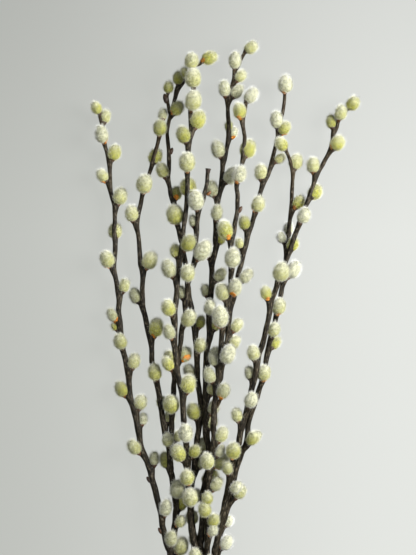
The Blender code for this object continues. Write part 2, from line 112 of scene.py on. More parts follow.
@dataclass(frozen=True)
class Shoot:
    """A stem or side shoot as it was read off the photograph.

    Args:
        route: (column, row) points from its lower end to its tip.
        heights: (row, height in mm) off the table, between which it runs straight.
        catkins: (row, side, length in mm, tone) of each catkin; one that hardly shows has no tone
            and draws it by chance.
        buds: (row, side) of each bare bud.
    """

    route: tuple
    heights: tuple
    catkins: tuple
    buds: tuple = ()


def pairs(*numbers: float) -> Tuple[Tuple[float, float], ...]:
    """Take numbers two by two."""
    return tuple(zip(numbers[::2], numbers[1::2]))


BRANCH_1 = (
    Shoot(
        route=pairs(
            177, 706, 177.2, 650, 176.4, 600, 170.5, 556, 168, 548, 165, 537, 162.5, 525, 160, 510,
            157, 498, 155, 490, 152, 480, 150, 471, 147, 462, 143, 453, 140.5, 445, 138.5, 433, 136, 421,
            133.5, 410, 130, 397, 129, 385, 127.5, 372, 125, 360, 122.5, 348, 121, 336, 120, 324,
            118.5, 312, 118.5, 300, 117, 287, 115, 276, 113.5, 266, 115, 250, 114, 232, 114.5, 220,
            114, 207, 112, 198, 110, 187, 109.5, 172, 108, 160, 106, 150, 104, 142, 101, 123, 99, 113,
        ),
        heights=pairs(
            706, 3.3, 650, 6.8, 600, 12.3, 555, 17, 525, 17.5, 485, 15, 460, 14, 432, 13, 150, 13, 124, 14,
            113, 15,
        ),
        catkins=(
            (546, FR, 17), (516, FR, 18, SILVER), (468, R, 15), (452, FL, 17, DULL), (427, BR, 14),
            (411, R, 16, PALE), (396, L, 17, OLIVE), (370, R, 17, PALE), (348, F, 17, DULL), (330, L, 9),
            (321, L, 15, GREY), (293, R, 15, PALE), (267, FL, 18, PALE), (238, B, 17, PALE),
            (205, R, 18, PALE), (181, L, 15, PALE), (160, R, 17, GREEN), (142, F, 19, SILVER),
            (123, BR, 15, PALE), (TIP, FL, 14, GREEN),
        ),
        buds=((534, L), (483, L)),
    ),
)
BRANCH_2 = (
    Shoot(
        route=pairs(
            169.9, 698, 170.6, 640, 172.2, 590, 174, 556, 174, 532, 175, 520, 176, 510, 175, 500, 173, 487,
            171.3, 475, 170, 465, 169.5, 453, 170.5, 442, 171.5, 430, 171.8, 418, 172.5, 405, 173.5, 393,
            174, 382, 176, 370, 178.5, 357, 180.5, 342, 182, 328, 184.5, 318, 186, 305, 187, 295, 188, 285,
            190.5, 276, 193, 266, 195, 256, 196, 245, 197, 232, 197.5, 222, 199, 213, 202, 204, 205, 193,
            206.5, 185, 208, 172,
        ),
        heights=pairs(
            698, 3.3, 640, 4.2, 590, 6, 545, 9, 510, 12, 478, 14, 450, 15, 392, 15, 362, 16, 325, 20,
            293, 25, 262, 27, 230, 28, 213, 29, 195, 30, 172, 32,
        ),
        catkins=(
            (572, R, 16), (556, F, 19, PALE), (526, FR, 14, PALE), (512, R, 16, OLIVE), (497, FR, 20, GREY),
            (469, L, 18, OLIVE), (441, R, 13, PALE), (412, F, 20, GREEN), (369, L, 19, GREEN),
            (361, BR, 17, PALE), (324, F, 19, PALE), (300, BL, 15, GREY), (281, L, 18, PALE),
            (259, FR, 23, SILVER), (228, BL, 14, GREY), (211, FL, 21, SILVER),
        ),
        buds=((375, L), (196, R), (TIP, F)),
    ),
    Shoot(
        route=pairs(
            171.3, 476, 169.5, 453, 168, 445, 165.5, 435, 163.5, 425, 162, 415, 160.5, 405, 159, 395,
            157, 385, 154, 372, 152, 360, 151, 345, 148, 332, 145.5, 320, 143, 308, 142.5, 298, 142, 272,
            140, 262, 138.5, 238, 137, 225, 138, 215, 142, 196, 145, 185, 150, 171, 154, 155, 158, 142,
            160, 134, 162, 120,
        ),
        heights=pairs(
            476, 14, 445, 14.5, 402, 14, 380, 13, 172, 13, 155, 14, 135, 15, 120, 16,
        ),
        catkins=(
            (446, F, 15, PALE), (425, BR, 16, PALE), (408, B, 13, OLIVE), (380, F, 18, GREEN),
            (338, R, 20, GREEN), (303, L, 18, GREY), (269, R, 19, PALE), (222, L, 17, PALE),
            (192, F, 20, PALE), (163, B, 18, GREEN), (135, F, 17, OLIVE), (TIP, B, 14, GREY),
        ),
    ),
)
BRANCH_3 = (
    Shoot(
        route=pairs(
            184, 704, 186, 640, 190.5, 590, 194, 556, 194, 543, 192.5, 532, 191, 520, 190.5, 505, 191, 492,
            192.5, 480, 194.3, 470, 195.3, 457, 197, 442, 198.5, 430, 200, 420, 201, 405, 200, 396,
            198, 384, 197, 370, 196.7, 358, 196, 345, 194.5, 332, 193, 320, 191, 307, 189, 295, 187.5, 282,
            186, 268, 184, 256, 182, 246, 179.5, 234, 177, 222, 174, 207, 171, 197, 169.5, 187, 168, 177,
            169, 168, 168.5, 150, 167.5, 140, 167, 130, 169, 120, 171, 113, 170, 113, 168, 104, 167, 96,
            168, 92,
        ),
        heights=pairs(
            704, 3.3, 640, 4.2, 590, 6, 545, 9, 510, 11.5, 480, 12, 178, 12, 132, 12.5, 117, 13, 90, 14,
        ),
        catkins=(
            (548, L, 17, SILVER), (527, L, 16, PALE), (504, R, 21, PALE), (470, BR, 15, GREY),
            (455, BR, 19, GREY), (420, F, 18, OLIVE), (379, L, 17, GREY), (352, FR, 16, DULL),
            (329, R, 14, OLIVE), (223, F, 21, GREEN), (200, BR, 15, OLIVE), (177, L, 16, DULL),
            (TIP, F, 13, OLIVE),
        ),
        buds=((154, R), (103, L)),
    ),
    Shoot(
        route=pairs(
            169, 120, 171, 113, 173, 106, 175, 98, 178, 90, 183, 83, 185, 78,
        ),
        heights=pairs(
            120, 12.8, 106, 14.5, 93, 16.5, 78, 18.5,
        ),
        catkins=((113, FR, 16, OLIVE), (86, L, 14, OLIVE)),
        buds=((TIP, F),),
    ),
)
BRANCH_4 = (
    Shoot(
        route=pairs(
            191, 700, 192.8, 640, 195.5, 590, 196, 556, 193, 537, 191, 525, 190.5, 510, 190, 497, 189, 487,
            188.3, 475, 187.5, 462, 186.5, 450, 186, 438, 184.5, 425, 183.5, 413, 183, 402, 181.5, 390,
            179.5, 380, 177.5, 370, 176.5, 360, 175, 345, 175, 320, 175.5, 308, 176.5, 297, 177.3, 285,
            178.5, 272, 180.5, 260, 182, 247, 183, 235, 184.5, 222, 186, 210, 187.5, 198, 187.5, 173,
            188, 162, 188.5, 152, 190, 143, 191, 132, 190.5, 122, 190.5, 112, 192, 104, 193.5, 95, 193, 86,
            191, 76, 191, 68, 196, 66.5, 200, 65, 202.5, 62.5,
        ),
        heights=pairs(
            700, 3.3, 640, 8, 590, 13, 550, 17.5, 515, 22.5, 480, 26, 450, 28, 420, 29, 370, 30, 335, 30,
            272, 29, 245, 28, 215, 27, 180, 26, 150, 25, 105, 24, 80, 24.5, 61, 27,
        ),
        catkins=(
            (560, F, 17, PALE), (503, F, 19, PALE), (481, FL, 17, GREEN), (459, L, 19, GREEN),
            (456, R, 14, OLIVE), (439, F, 20, SILVER), (393, R, 19, GREEN), (369, L, 16, GREEN),
            (338, FL, 16, GREY), (315, FL, 18, GREEN), (278, L, 20, GREY), (258, BL, 15, GREEN),
            (250, R, 18, OLIVE), (195, B, 20, GREEN), (172, F, 20, PALE), (144, L, 18, OLIVE),
            (129, R, 20, GREEN), (111, L, 21, PALE), (88, F, 20, PALE), (79, L, 13, OLIVE),
            (69, F, 17, PALE), (TIP, R, 17, GREEN),
        ),
    ),
)
BRANCH_5 = (
    Shoot(
        route=pairs(
            204.8, 708, 205.9, 650, 207.1, 600, 207, 556, 208, 530, 207, 515, 206.5, 500, 208, 485,
            209.5, 473, 211, 461, 212.5, 450, 213.8, 438, 213.5, 425, 213.8, 410, 215.5, 397, 217, 386,
            219, 374, 220.5, 362, 221, 350, 221.5, 338, 223.5, 327, 226, 316, 227.5, 307, 229.5, 298,
            230.5, 285, 231, 272, 231, 249, 232.5, 238, 234.3, 228, 236, 218, 237.3, 208, 237.3, 196,
            236.5, 186, 239, 178, 241, 169, 242.5, 158, 243.5, 148, 244.5, 138, 243.8, 132, 243, 123,
            244, 115, 245.5, 108, 246, 103,
        ),
        heights=pairs(
            708, 3.3, 650, 7, 600, 11.3, 550, 16.5, 510, 21, 475, 24, 447, 26, 418, 27, 262, 27, 232, 26.5,
            207, 26, 168, 25.5, 96, 25.5,
        ),
        catkins=(
            (562, FR, 17, SILVER), (534, FR, 14, SILVER), (525, FR, 15, GREEN), (514, FL, 17, GREEN),
            (502, F, 15, GREEN), (489, R, 16, GREY), (467, FL, 18, PALE), (455, R, 14, SILVER),
            (441, R, 17, PALE), (383, L, 17, GREY), (366, L, 12, GREY), (362, FR, 21, SILVER),
            (327, FL, 23, SILVER), (301, L, 18, PALE), (267, F, 21, SILVER), (240, L, 20, GREEN),
            (183, F, 18, SILVER), (157, BR, 20, GREEN), (120, FL, 17, GREEN), (TIP, R, 18, WHITE),
        ),
        buds=((213, R),),
    ),
    Shoot(
        route=pairs(
            218.3, 384, 222.5, 365, 225, 352, 227, 340, 228.3, 327, 229.5, 315, 231.5, 305, 234.5, 295,
            236, 285, 238, 275, 240, 267, 243, 257, 245.3, 247, 247.5, 238, 250, 229, 253, 220, 256, 211,
            259, 200, 261, 191, 264, 183, 268, 175, 270.5, 166, 273.3, 156, 275.5, 147, 277.5, 138,
            279, 129, 281, 119, 283.2, 110, 284.5, 100, 285, 92,
        ),
        heights=pairs(
            384, 26.5, 365, 25, 340, 22.5, 295, 22, 272, 22.5, 252, 22, 235, 21, 215, 20, 195, 18, 179, 16,
            166, 15, 150, 14, 130, 13.5, 92, 14,
        ),
        catkins=(
            (347, R, 15, PALE), (331, R, 16, PALE), (295, F, 19, SILVER), (281, R, 17, SILVER),
            (250, L, 12, PALE), (231, L, 15, OLIVE), (212, F, 17, PALE), (181, L, 17, PALE),
            (161, R, 13, PALE), (133, FR, 15, GREEN), (128, FL, 18, SILVER), (TIP, F, 19, SILVER),
        ),
    ),
    Shoot(
        route=pairs(
            215.5, 409, 218.5, 403, 221, 397,
        ),
        heights=pairs(
            409, 27, 397, 27.5,
        ),
        catkins=((TIP, F, 17, GREY),),
    ),
)
BRANCH_6 = (
    Shoot(
        route=pairs(
            198.1, 696, 199.6, 640, 200.8, 590, 201, 556, 200.5, 543, 201.5, 530, 203, 515, 203, 500,
            204.5, 486, 208, 472, 209.5, 460, 209, 450, 207, 440, 205, 426, 205.5, 413, 205.5, 387,
            206, 363, 207, 352, 208.5, 342, 209.5, 331, 209, 320, 209.5, 308, 210.5, 297, 211.5, 287,
            211.8, 275, 212.5, 264, 214, 255, 215.5, 245, 215.8, 223, 217, 212, 218.5, 199, 220.5, 189,
            222, 178, 222.5, 167, 225, 158, 227, 147, 228.5, 135, 229, 125, 228, 115, 228, 105, 229.5, 95,
            231.5, 86, 234, 78, 236, 70, 239, 65, 241.5, 58, 245.5, 51.5,
        ),
        heights=pairs(
            696, 3.3, 640, 4.5, 590, 8, 550, 12.5, 500, 12.5, 470, 13.5, 440, 16, 418, 17.5, 395, 17,
            365, 14, 340, 13, 100, 13, 86, 13.5, 70, 15, 58, 16.5, 51, 17.3,
        ),
        catkins=(
            (537, FR, 17, GREY), (488, BL, 20, OLIVE), (466, F, 19, PALE), (430, BL, 17),
            (414, F, 20, SILVER), (395, FR, 16, PALE), (361, F, 16, SILVER), (331, BR, 15),
            (314, F, 17, SILVER), (297, BL, 14, GREY), (281, R, 16, GREY), (259, L, 15), (244, BR, 14),
            (220, F, 17, GREY), (197, L, 18, GREY), (182, R, 20, SILVER), (158, L, 19, GREY), (137, BR, 14),
            (130, B, 12), (96, R, 16, SILVER), (97, L, 17, SILVER), (80, R, 14, PALE), (69, FL, 18, SILVER),
            (TIP, R, 15, PALE),
        ),
    ),
)
BRANCH_7 = (
    Shoot(
        route=pairs(
            211.8, 703, 213, 650, 214.2, 600, 214.5, 556, 216, 546, 218, 535, 220.5, 523, 223, 511,
            225.5, 500, 228, 490, 229.5, 480, 231.5, 468, 234.5, 456, 238, 446, 239.5, 438, 241, 430,
            243.5, 420, 246.5, 410, 248.5, 401, 251, 391, 253.5, 382, 255.5, 372, 257, 363, 258.5, 354,
            262, 344, 265.3, 332, 267.5, 321, 269, 311, 271, 301, 274.5, 292, 277.5, 282, 281, 271,
            285.5, 261, 288.5, 253, 291.5, 245, 294, 237, 296.5, 230, 299, 223, 302, 215, 305, 207,
            308.5, 198, 311, 191, 313.5, 184, 316, 177, 319, 171, 322.5, 165, 325.5, 159, 328.5, 153,
            331, 147, 332.5, 140, 334, 134, 337, 127, 339, 119.5, 344.5, 113, 348.5, 108,
        ),
        heights=pairs(
            703, 3.3, 650, 7.5, 600, 12, 550, 17, 512, 21, 490, 22.5, 468, 24, 447, 25, 412, 26, 388, 26.5,
            365, 27, 240, 27, 220, 25, 197, 22, 178, 20, 161, 18, 147, 16.5, 132, 15, 119, 14.5, 108, 15.5,
        ),
        catkins=(
            (490, FR, 15, SILVER), (473, BL, 14), (457, FL, 18, GREEN), (422, L, 15, PALE),
            (405, F, 17, SILVER), (380, BL, 15), (360, FL, 16, PALE), (301, L, 15, GREEN),
            (280, F, 20, PALE), (250, B, 15), (223, F, 17, SILVER), (197, BR, 18, GREEN),
            (175, L, 17, PALE), (149, FR, 17, GREEN), (129, L, 15, OLIVE), (120, F, 16, PALE),
            (TIP, F, 16, GREEN),
        ),
    ),
)
BRANCH_8 = (
    Shoot(
        route=pairs(
            218.8, 700, 220, 640, 219.6, 590, 217, 556, 218, 546, 220, 535, 223.5, 522, 226, 513,
            228.5, 506, 231.5, 498, 233, 488, 234.5, 476, 237, 467, 240, 459, 243, 451, 246, 445,
            247.5, 436, 248, 427, 250.5, 417, 253, 409, 256, 400, 259.5, 390, 262.8, 380, 265.3, 366,
            267, 356, 269, 346, 271.3, 337, 274, 327, 276, 317, 278.5, 306, 280.5, 297, 282, 288, 284, 279,
            285.5, 265, 286.5, 253, 287.5, 242, 289, 233, 289.7, 225, 290.5, 216, 291.3, 207, 292, 197,
            292.5, 185, 292.3, 173, 291, 165, 288.5, 157, 285, 150,
        ),
        heights=pairs(
            700, 3.3, 640, 4.3, 590, 6, 550, 8, 515, 10.5, 490, 12, 230, 12, 208, 13, 185, 15.5, 169, 19,
            158, 22, 150, 25,
        ),
        catkins=(
            (572, FR, 16), (549, FR, 17, WHITE), (528, BR, 14, WHITE), (498, FR, 16, PALE),
            (444, FR, 16, GREEN), (443, R, 15, PALE), (380, F, 17, PALE), (348, BR, 15), (336, F, 16, PALE),
            (314, F, 18, PALE), (277, R, 20, WHITE), (243, F, 13, WHITE), (234, B, 15), (208, R, 16, GREEN),
            (170, BR, 17, PALE), (TIP, FL, 16, GREEN),
        ),
        buds=((476, L),),
    ),
)
BRANCHES: Dict[str, Tuple[Shoot, ...]] = {
    f"branch_{number}": shoots for number, shoots in enumerate((
        BRANCH_1, BRANCH_2, BRANCH_3, BRANCH_4, BRANCH_5, BRANCH_6, BRANCH_7, BRANCH_8,
    ), 1)
}


# The nodes whose catkin keeps an orange scale, with how far up it reaches in mm.
ORANGE_SCALES: Dict[Tuple[str, int], Dict[Row, float]] = {
    ("branch_1", 0): {142: 3.0, 181: 3.0, 267: 2.8, 321: 2.6},
    ("branch_2", 0): {361: 9.0, 526: 3.0, 556: 3.0},
    ("branch_2", 1): {192: 4.2, 338: 2.8},
    ("branch_3", 0): {200: 4.0, 504: 3.2, 223: 2.8},
    ("branch_3", 1): {113: 3.0},
    ("branch_4", 0): {TIP: 3.0, 481: 2.8, 560: 3.2},
    ("branch_5", 0): {120: 4.4, 183: 2.8, 240: 4.2, 327: 3.6, 534: 3.0},
    ("branch_5", 1): {TIP: 3.6, 133: 3.4, 212: 2.8, 295: 8.0, 347: 2.8},
    ("branch_5", 2): {TIP: 5.0},
    ("branch_6", 0): {466: 3.6, 137: 2.8},
    ("branch_7", 0): {149: 2.8, 301: 3.0, 457: 2.6},
    ("branch_8", 0): {314: 3.6, 380: 3.0, 549: 3.2, 208: 2.8},
}


@dataclass(frozen=True)
class BudShape:
    """How a bare bud sits.

    Args:
        size: how large it is, as a share of most.
        seat: how far out from the stem's middle it starts, as a share of the stem's radius.
        lean: degrees away from the stem.
        tone: its least and greatest tone, from dark brown to orange.
    """

    size: float = 1.0
    seat: float = 0.6
    lean: float = 24.0
    tone: Tuple[float, float] = (0.05, 0.35)


# The bare buds that differ from most, by branch, shoot and row.
BUD_SHAPES: Dict[Tuple[str, int, Row], BudShape] = {
    ("branch_2", 0, TIP): BudShape(tone=(0.0, 0.05)),
    ("branch_2", 0, 196): BudShape(0.8, 1.8, 36.0, (0.4, 0.6)),
    ("branch_3", 0, 103): BudShape(1.4, 0.4, 9.0, (0.1, 0.2)),
}


def height_at(heights: Sequence[Tuple[float, float]], row: float) -> float:
    """Read a height off a shoot's list.

    Args:
        heights: (row, height in mm) pairs, lowest row on the branch first.
        row: the photograph's row.

    Returns:
        The height in mm.
    """
    lower = heights[0]
    for upper in heights[1:]:
        if row >= upper[0]:
            t = (lower[0] - row) / (lower[0] - upper[0])
            t = min(1, max(0, t))
            return lower[1] + t * (upper[1] - lower[1])
        lower = upper
    return lower[1]


def at(column: float, row: float, height: float) -> Vector:
    """Place a point of the photograph over the table.

    Args:
        column: its column.
        row: its row.
        height: its height off the table in mm.

    Returns:
        The point in metres.
    """
    across = (column - MIDDLE_COLUMN) * PIXEL
    along = (MIDDLE_ROW - row) * PIXEL
    return Vector((across, along, height * MM))


def smooth_line(points: Sequence[Vector], step: float) -> List[Vector]:
    """Follow the Catmull-Rom curve through some points.

    Args:
        points: the points.
        step: about how far apart the new points lie.

    Returns:
        Points along the curve, the given ones among them.
    """
    ends = [2 * points[0] - points[1], *points, 2 * points[-1] - points[-2]]
    line = [points[0]]
    for before, start, end, after in zip(ends, ends[1:], ends[2:], ends[3:]):
        pieces = max(1, math.ceil((end - start).length / step))
        for piece in range(1, pieces + 1):
            t = piece / pieces
            bend = 2 * before - 5 * start + 4 * end - after
            twist = 3 * start - 3 * end + after - before
            line.append(start + 0.5 * t * ((end - before) + t * (bend + t * twist)))
    return line


def distance_to_segment(point: Vector, start: Vector, end: Vector) -> float:
    """Measure how far a point lies from a straight stretch.

    Args:
        point: the point.
        start: the stretch's one end.
        end: its other end.

    Returns:
        The distance in metres.
    """
    stretch = end - start
    t = (point - start).dot(stretch) / stretch.length_squared
    return (point - start - min(1.0, max(0.0, t)) * stretch).length


def thinned(line: List[Vector], kept: float) -> List[Vector]:
    """Leave out the points of a line that hardly bend it.

    Args:
        line: the points.
        kept: how far off the line without it a point lies that stays.

    Returns:
        The ends and the points that stay.
    """
    if len(line) < 3:
        return line
    offs = [distance_to_segment(point, line[0], line[-1]) for point in line]
    far = max(range(len(line)), key=offs.__getitem__)
    if offs[far] < kept:
        return [line[0], line[-1]]
    return thinned(line[: far + 1], kept)[:-1] + thinned(line[far:], kept)


class Stem:
    """A shoot's centre line with its radius at each point, as coarse as the frame's solid."""

    TIP_RADIUS = 1.1 * MM
    BUTT_GAIN = 2.2 * MM
    GAIN_LENGTH = 180 * MM
    CURVE_STEP = 4 * MM
    BEND_KEPT = 1.0 * MM

    def __init__(self, shoot: Shoot, step: float = CURVE_STEP, kept: float = BEND_KEPT) -> None:
        """Lay the line.

        Args:
            shoot: the shoot's readings.
            step: how far apart its points lie at first.
            kept: how far off the line a point lies that stays; 0 keeps all.
        """
        points = [at(column, row, height_at(shoot.heights, row)) for column, row in shoot.route]
        line = smooth_line(points, step)
        self.line = thinned(line, kept) if kept else line
        left = [0.0]
        for upper, lower in zip(self.line[::-1], self.line[-2::-1]):
            left.append(left[-1] + (upper - lower).length)
        self.to_tip = left[::-1]
        self.radii = [self.radius(d) for d in self.to_tip]

    @classmethod
    def radius(cls, to_tip: float) -> float:
        """Give the bark's radius at a distance from the tip."""
        return cls.TIP_RADIUS + cls.BUTT_GAIN * (1 - math.exp(-to_tip / cls.GAIN_LENGTH))

    def at_row(self, row: Row) -> Tuple[Vector, Vector, float]:
        """Find where the stem passes a row.

        Args:
            row: the photograph's row, or TIP.

        Returns:
            The point, the direction to the tip and the radius there.
        """
        if row == TIP:
            return self.line[-1], (self.line[-1] - self.line[-2]).normalized(), self.radii[-1]
        along = at(0, row, 0).y
        for low, high, low_radius, high_radius in zip(self.line, self.line[1:], self.radii, self.radii[1:]):
            if low.y <= along <= high.y:
                t = (along - low.y) / (high.y - low.y)
                radius = low_radius + t * (high_radius - low_radius)
                return low.lerp(high, t), (high - low).normalized(), radius
        raise ValueError(f"the stem doesn't reach row {row}")


def outward(side: float) -> Vector:
    """Give the direction at some degrees round a stem that runs up the photograph."""
    return Vector((math.cos(math.radians(side)), 0, math.sin(math.radians(side))))


class Catkin:
    """One catkin's place: where it sits on its stem, which way it points and how big it is."""

    SHOULDER_RISE = 2.0 * MM

    def __init__(self, stem: Stem, row: Row, side: float, lean: float, length: float, width: float) -> None:
        """Seat the catkin.

        Args:
            stem: the stem that it grows on.
            row: the row of its node, or TIP.
            side: degrees round the stem.
            lean: degrees away from the stem.
            length: its length in metres.
            width: its greatest width in metres.
        """
        self.row = row
        self.side = side
        self.lean = lean
        self.length = length
        self.width = width
        self.tone: Optional[Tone] = None
        # Its painted shading, set later, darkens it where it lies in shadow.
        self.tint = self.painted_shade = 0.0
        self.slimness = 1.0
        self.node, self.up, self.stem_radius = stem.at_row(self.row)
        out = outward(self.side)
        self.out = (out - out.dot(self.up) * self.up).normalized()
        tilt = math.radians(self.lean)
        self.axis = (math.cos(tilt) * self.up + math.sin(tilt) * self.out).normalized()
        rise = 0 if self.row == TIP else self.stem_radius + self.SHOULDER_RISE
        self.base = self.node + rise * self.out
        self.centre = self.base + self.length / 2 * self.axis

    def move_to(self, stem: Stem) -> None:
        """Shift the catkin to the same node of a finer line of its stem.

        Args:
            stem: the fine line.
        """
        shift = stem.at_row(self.row)[0] - self.node
        self.node = self.node + shift
        self.base = self.base + shift
        self.centre = self.centre + shift

    def balls(self) -> List[Tuple[Vector, float]]:
        """Give three balls that fill it.

        Returns:
            The (centre, radius) of each.
        """
        return [
            (self.centre + share * self.length * self.axis, fill * self.width / 2)
            for share, fill in ((-0.22, 0.95), (0.0, 1.0), (0.24, 0.88))
        ]


@dataclass
class Layout:
    """Where every stem and catkin of the bunch lies, by the rule that placed the frame's solids.

    Args:
        width_share: the least and greatest width of a catkin, as a share of its length.
        lean: the least and greatest lean in degrees.
        gap: the room kept between branches.
        most_press: how far a catkin may press flat on the table.
    """

    width_share: Tuple[float, float] = (0.74, 0.84)
    lean: Tuple[float, float] = (20.0, 32.0)
    gap: float = 0.5 * MM
    most_press: float = 3.0 * MM
    stems: Dict[str, List[Stem]] = field(default_factory=dict)
    catkins: Dict[str, List[List[Catkin]]] = field(default_factory=dict)

    def is_clear(self, catkin: Catkin, other_stems: list, other_balls: list) -> bool:
        """Tell whether a catkin keeps its gap to the other branches and the table.

        Args:
            catkin: the catkin.
            other_stems: the stems of the other branches.
            other_balls: the balls that fill their catkins.

        Returns:
            True if nothing is in its way.
        """
        for centre, radius in catkin.balls():
            if centre.z - radius < -self.most_press:
                return False
            for stem in other_stems:
                for start, end, thick in zip(stem.line, stem.line[1:], stem.radii):
                    near = radius + thick + self.gap
                    if not start.y - near < centre.y < end.y + near:
                        continue
                    if distance_to_segment(centre, start, end) < near:
                        return False
            for other, other_radius in other_balls:
                if (centre - other).length < radius + other_radius + self.gap:
                    return False
        return True

    def placed(
        self, stem: Stem, row: Row, side: float, length: float, draw: Random,
        other_stems: list, other_balls: list,
    ) -> Optional[Catkin]:
        """Turn a node's catkin round its stem, lean it or make it smaller until it is clear.

        Args:
            stem: its stem.
            row: the row of its node.
            side: degrees round the stem at first.
            length: its length in metres.
            draw: the seeded source of its small differences.
            other_stems: the stems of the other branches.
            other_balls: the balls that fill their catkins.

        Returns:
            The catkin, or None where there is no room.
        """
        width = length * draw.uniform(*self.width_share)
        lean = draw.uniform(*self.lean)
        side += draw.uniform(-10, 10)
        for scale in (1.0, 0.9, 0.8, 0.7):
            for more_lean in (0, 14, -14):
                for turn in (0, 12, -12, 25, -25, 40, -40, 60, -60, 90, -90):
                    catkin = Catkin(stem, row, side + turn, lean + more_lean, scale * length, scale * width)
                    if self.is_clear(catkin, other_stems, other_balls):
                        return catkin
        return None

    def plan(self) -> None:
        """Lay all the stems, then place the catkins branch by branch."""
        self.stems = {name: [Stem(shoot) for shoot in shoots] for name, shoots in BRANCHES.items()}
        balls: Dict[str, list] = {name: [] for name in BRANCHES}
        draw = Random(SEED)
        for name, shoots in BRANCHES.items():
            self.catkins[name] = []
            other_stems = [stem for other in self.stems if other != name for stem in self.stems[other]]
            for stem, shoot in zip(self.stems[name], shoots):
                on_shoot = []
                for row, side, length, *tone in shoot.catkins:
                    other_balls = [ball for other in balls if other != name for ball in balls[other]]
                    catkin = self.placed(
                        stem, row, side.value, length * MM, draw, other_stems, other_balls
                    )
                    if catkin:
                        catkin.tone = tone[0] if tone else None
                        on_shoot.append(catkin)
                        balls[name] += catkin.balls()
                self.catkins[name].append(on_shoot)


def linked(name: str, data: bpy.types.ID) -> Object:
    """Make an object and put it in the scene.

    Args:
        name: its name.
        data: its mesh, light or camera.

    Returns:
        The object, at the origin.
    """
    made = bpy.data.objects.new(name, data)
    bpy.context.scene.collection.objects.link(made)
    return made


class MeshDraft:
    """Points, faces and point attributes of a mesh as it grows."""

    def __init__(self) -> None:
        """Start an empty draft."""
        self.points: List[np.ndarray] = []
        self.faces: List[Tuple[int, ...]] = []
        self.slots: List[int] = []
        self.values: Dict[str, List[np.ndarray]] = {}
        self.count = 0

    def add(
        self, points: np.ndarray, faces: list, slots: Sequence[int] = (), **values: np.ndarray,
    ) -> None:
        """Add a closed shape.

        Args:
            points: its points, one row each.
            faces: its faces, as tuples of indices into points.
            slots: each face's material slot, all 0 where left out.
            **values: an attribute's value at each point, one number or three.
        """
        self.faces += [tuple(index + self.count for index in face) for face in faces]
        self.slots += slots or [0] * len(faces)
        self.points.append(points)
        for name, value in values.items():
            self.values.setdefault(name, []).append(np.asarray(value, dtype=float))
        self.count += len(points)

    def finish(self, name: str, *materials: Material) -> Object:
        """Make the mesh and its object.

        Args:
            name: the piece's name.
            *materials: the materials, one for each slot.

        Returns:
            The object, in the scene, at the origin.
        """
        points = np.concatenate(self.points)
        points[:, 2] = np.maximum(points[:, 2], TABLE_CLEARANCE)
        mesh = bpy.data.meshes.new(name)
        mesh.from_pydata(points.tolist(), [], self.faces)
        for label, parts in self.values.items():
            value = np.concatenate(parts)
            kind, key = ("FLOAT_VECTOR", "vector") if value.ndim == 2 else ("FLOAT", "value")
            mesh.attributes.new(label, kind, "POINT").data.foreach_set(key, value.ravel())
        mesh.polygons.foreach_set("material_index", self.slots)
        mesh.polygons.foreach_set("use_smooth", [True] * len(mesh.polygons))
        for material in materials:
            mesh.materials.append(material)
        mesh.update()
        return linked(name, mesh)


def frame_round(direction: Vector) -> Tuple[np.ndarray, np.ndarray, np.ndarray]:
    """Find two directions square to a third, the first as near to +X as can be.

    Args:
        direction: the third direction, of length 1.

    Returns:
        Across, over and the direction itself; across to over turns the left way about it.
    """
    guide = Vector((1, 0, 0)) if abs(direction.x) < 0.95 else Vector((0, 0, 1))
    across = (guide - guide.dot(direction) * direction).normalized()
    return np.array(across), np.array(across.cross(direction)), np.array(direction)


def lathe_faces(rings: int, sides: int) -> list:
    """List the faces of stacked rings with a point at both ends.

    Args:
        rings: how many rings lie between the end points.
        sides: how many points each ring has.

    Returns:
        The faces; the first point is 0, the last is 1 + rings * sides.
    """
    last = 1 + rings * sides
    top = last - sides
    faces = []
    for side in range(sides):
        after = (side + 1) % sides
        faces.append((0, 1 + side, 1 + after))
        faces.append((last, top + after, top + side))
        for low in range(1, top, sides):
            high = low + sides
            faces.append((low + side, high + side, high + after, low + after))
    return faces


def lathe(
    centres: np.ndarray, across: np.ndarray, over: np.ndarray, radii: np.ndarray,
) -> Tuple[np.ndarray, list]:
    """Turn a profile round a line of centres, closed by its first and last centre.

    Args:
        centres: the end point, each ring's centre and the other end point.
        across: the direction of a ring's first point.
        over: the direction of its quarter point.
        radii: each ring's radii, one row a ring and one column a side.

    Returns:
        The points and the faces.
    """
    rings, sides = radii.shape
    turn = np.arange(sides) * math.tau / sides
    spokes = np.outer(np.cos(turn), across) + np.outer(np.sin(turn), over)
    points = centres[1:-1, None, :] + radii[:, :, None] * spokes[None, :, :]
    points = np.concatenate([centres[:1], points.reshape(-1, 3), centres[-1:]])
    return points, lathe_faces(rings, sides)


def shell_faces(steps: int, columns: int) -> list:
    """List the faces of a thin closed shell: an outer grid of points, then an inner one.

    Args:
        steps: rows of points.
        columns: points in a row.

    Returns:
        The faces.
    """
    inner = steps * columns
    faces = []
    for first in range(0, inner - columns, columns):
        for a in range(first, first + columns - 1):
            faces.append((a, a + columns, a + columns + 1, a + 1))
            faces.append((inner + a, inner + a + 1, inner + a + columns + 1, inner + a + columns))
    for a in range(0, inner - columns, columns):
        faces.append((a, inner + a, inner + a + columns, a + columns))
        b = a + columns - 1
        faces.append((b, b + columns, inner + b + columns, inner + b))
    for a in range(columns - 1):
        faces.append((a, a + 1, inner + a + 1, inner + a))
        b = inner - columns + a
        faces.append((b, inner + b, inner + b + 1, b + 1))
    return faces


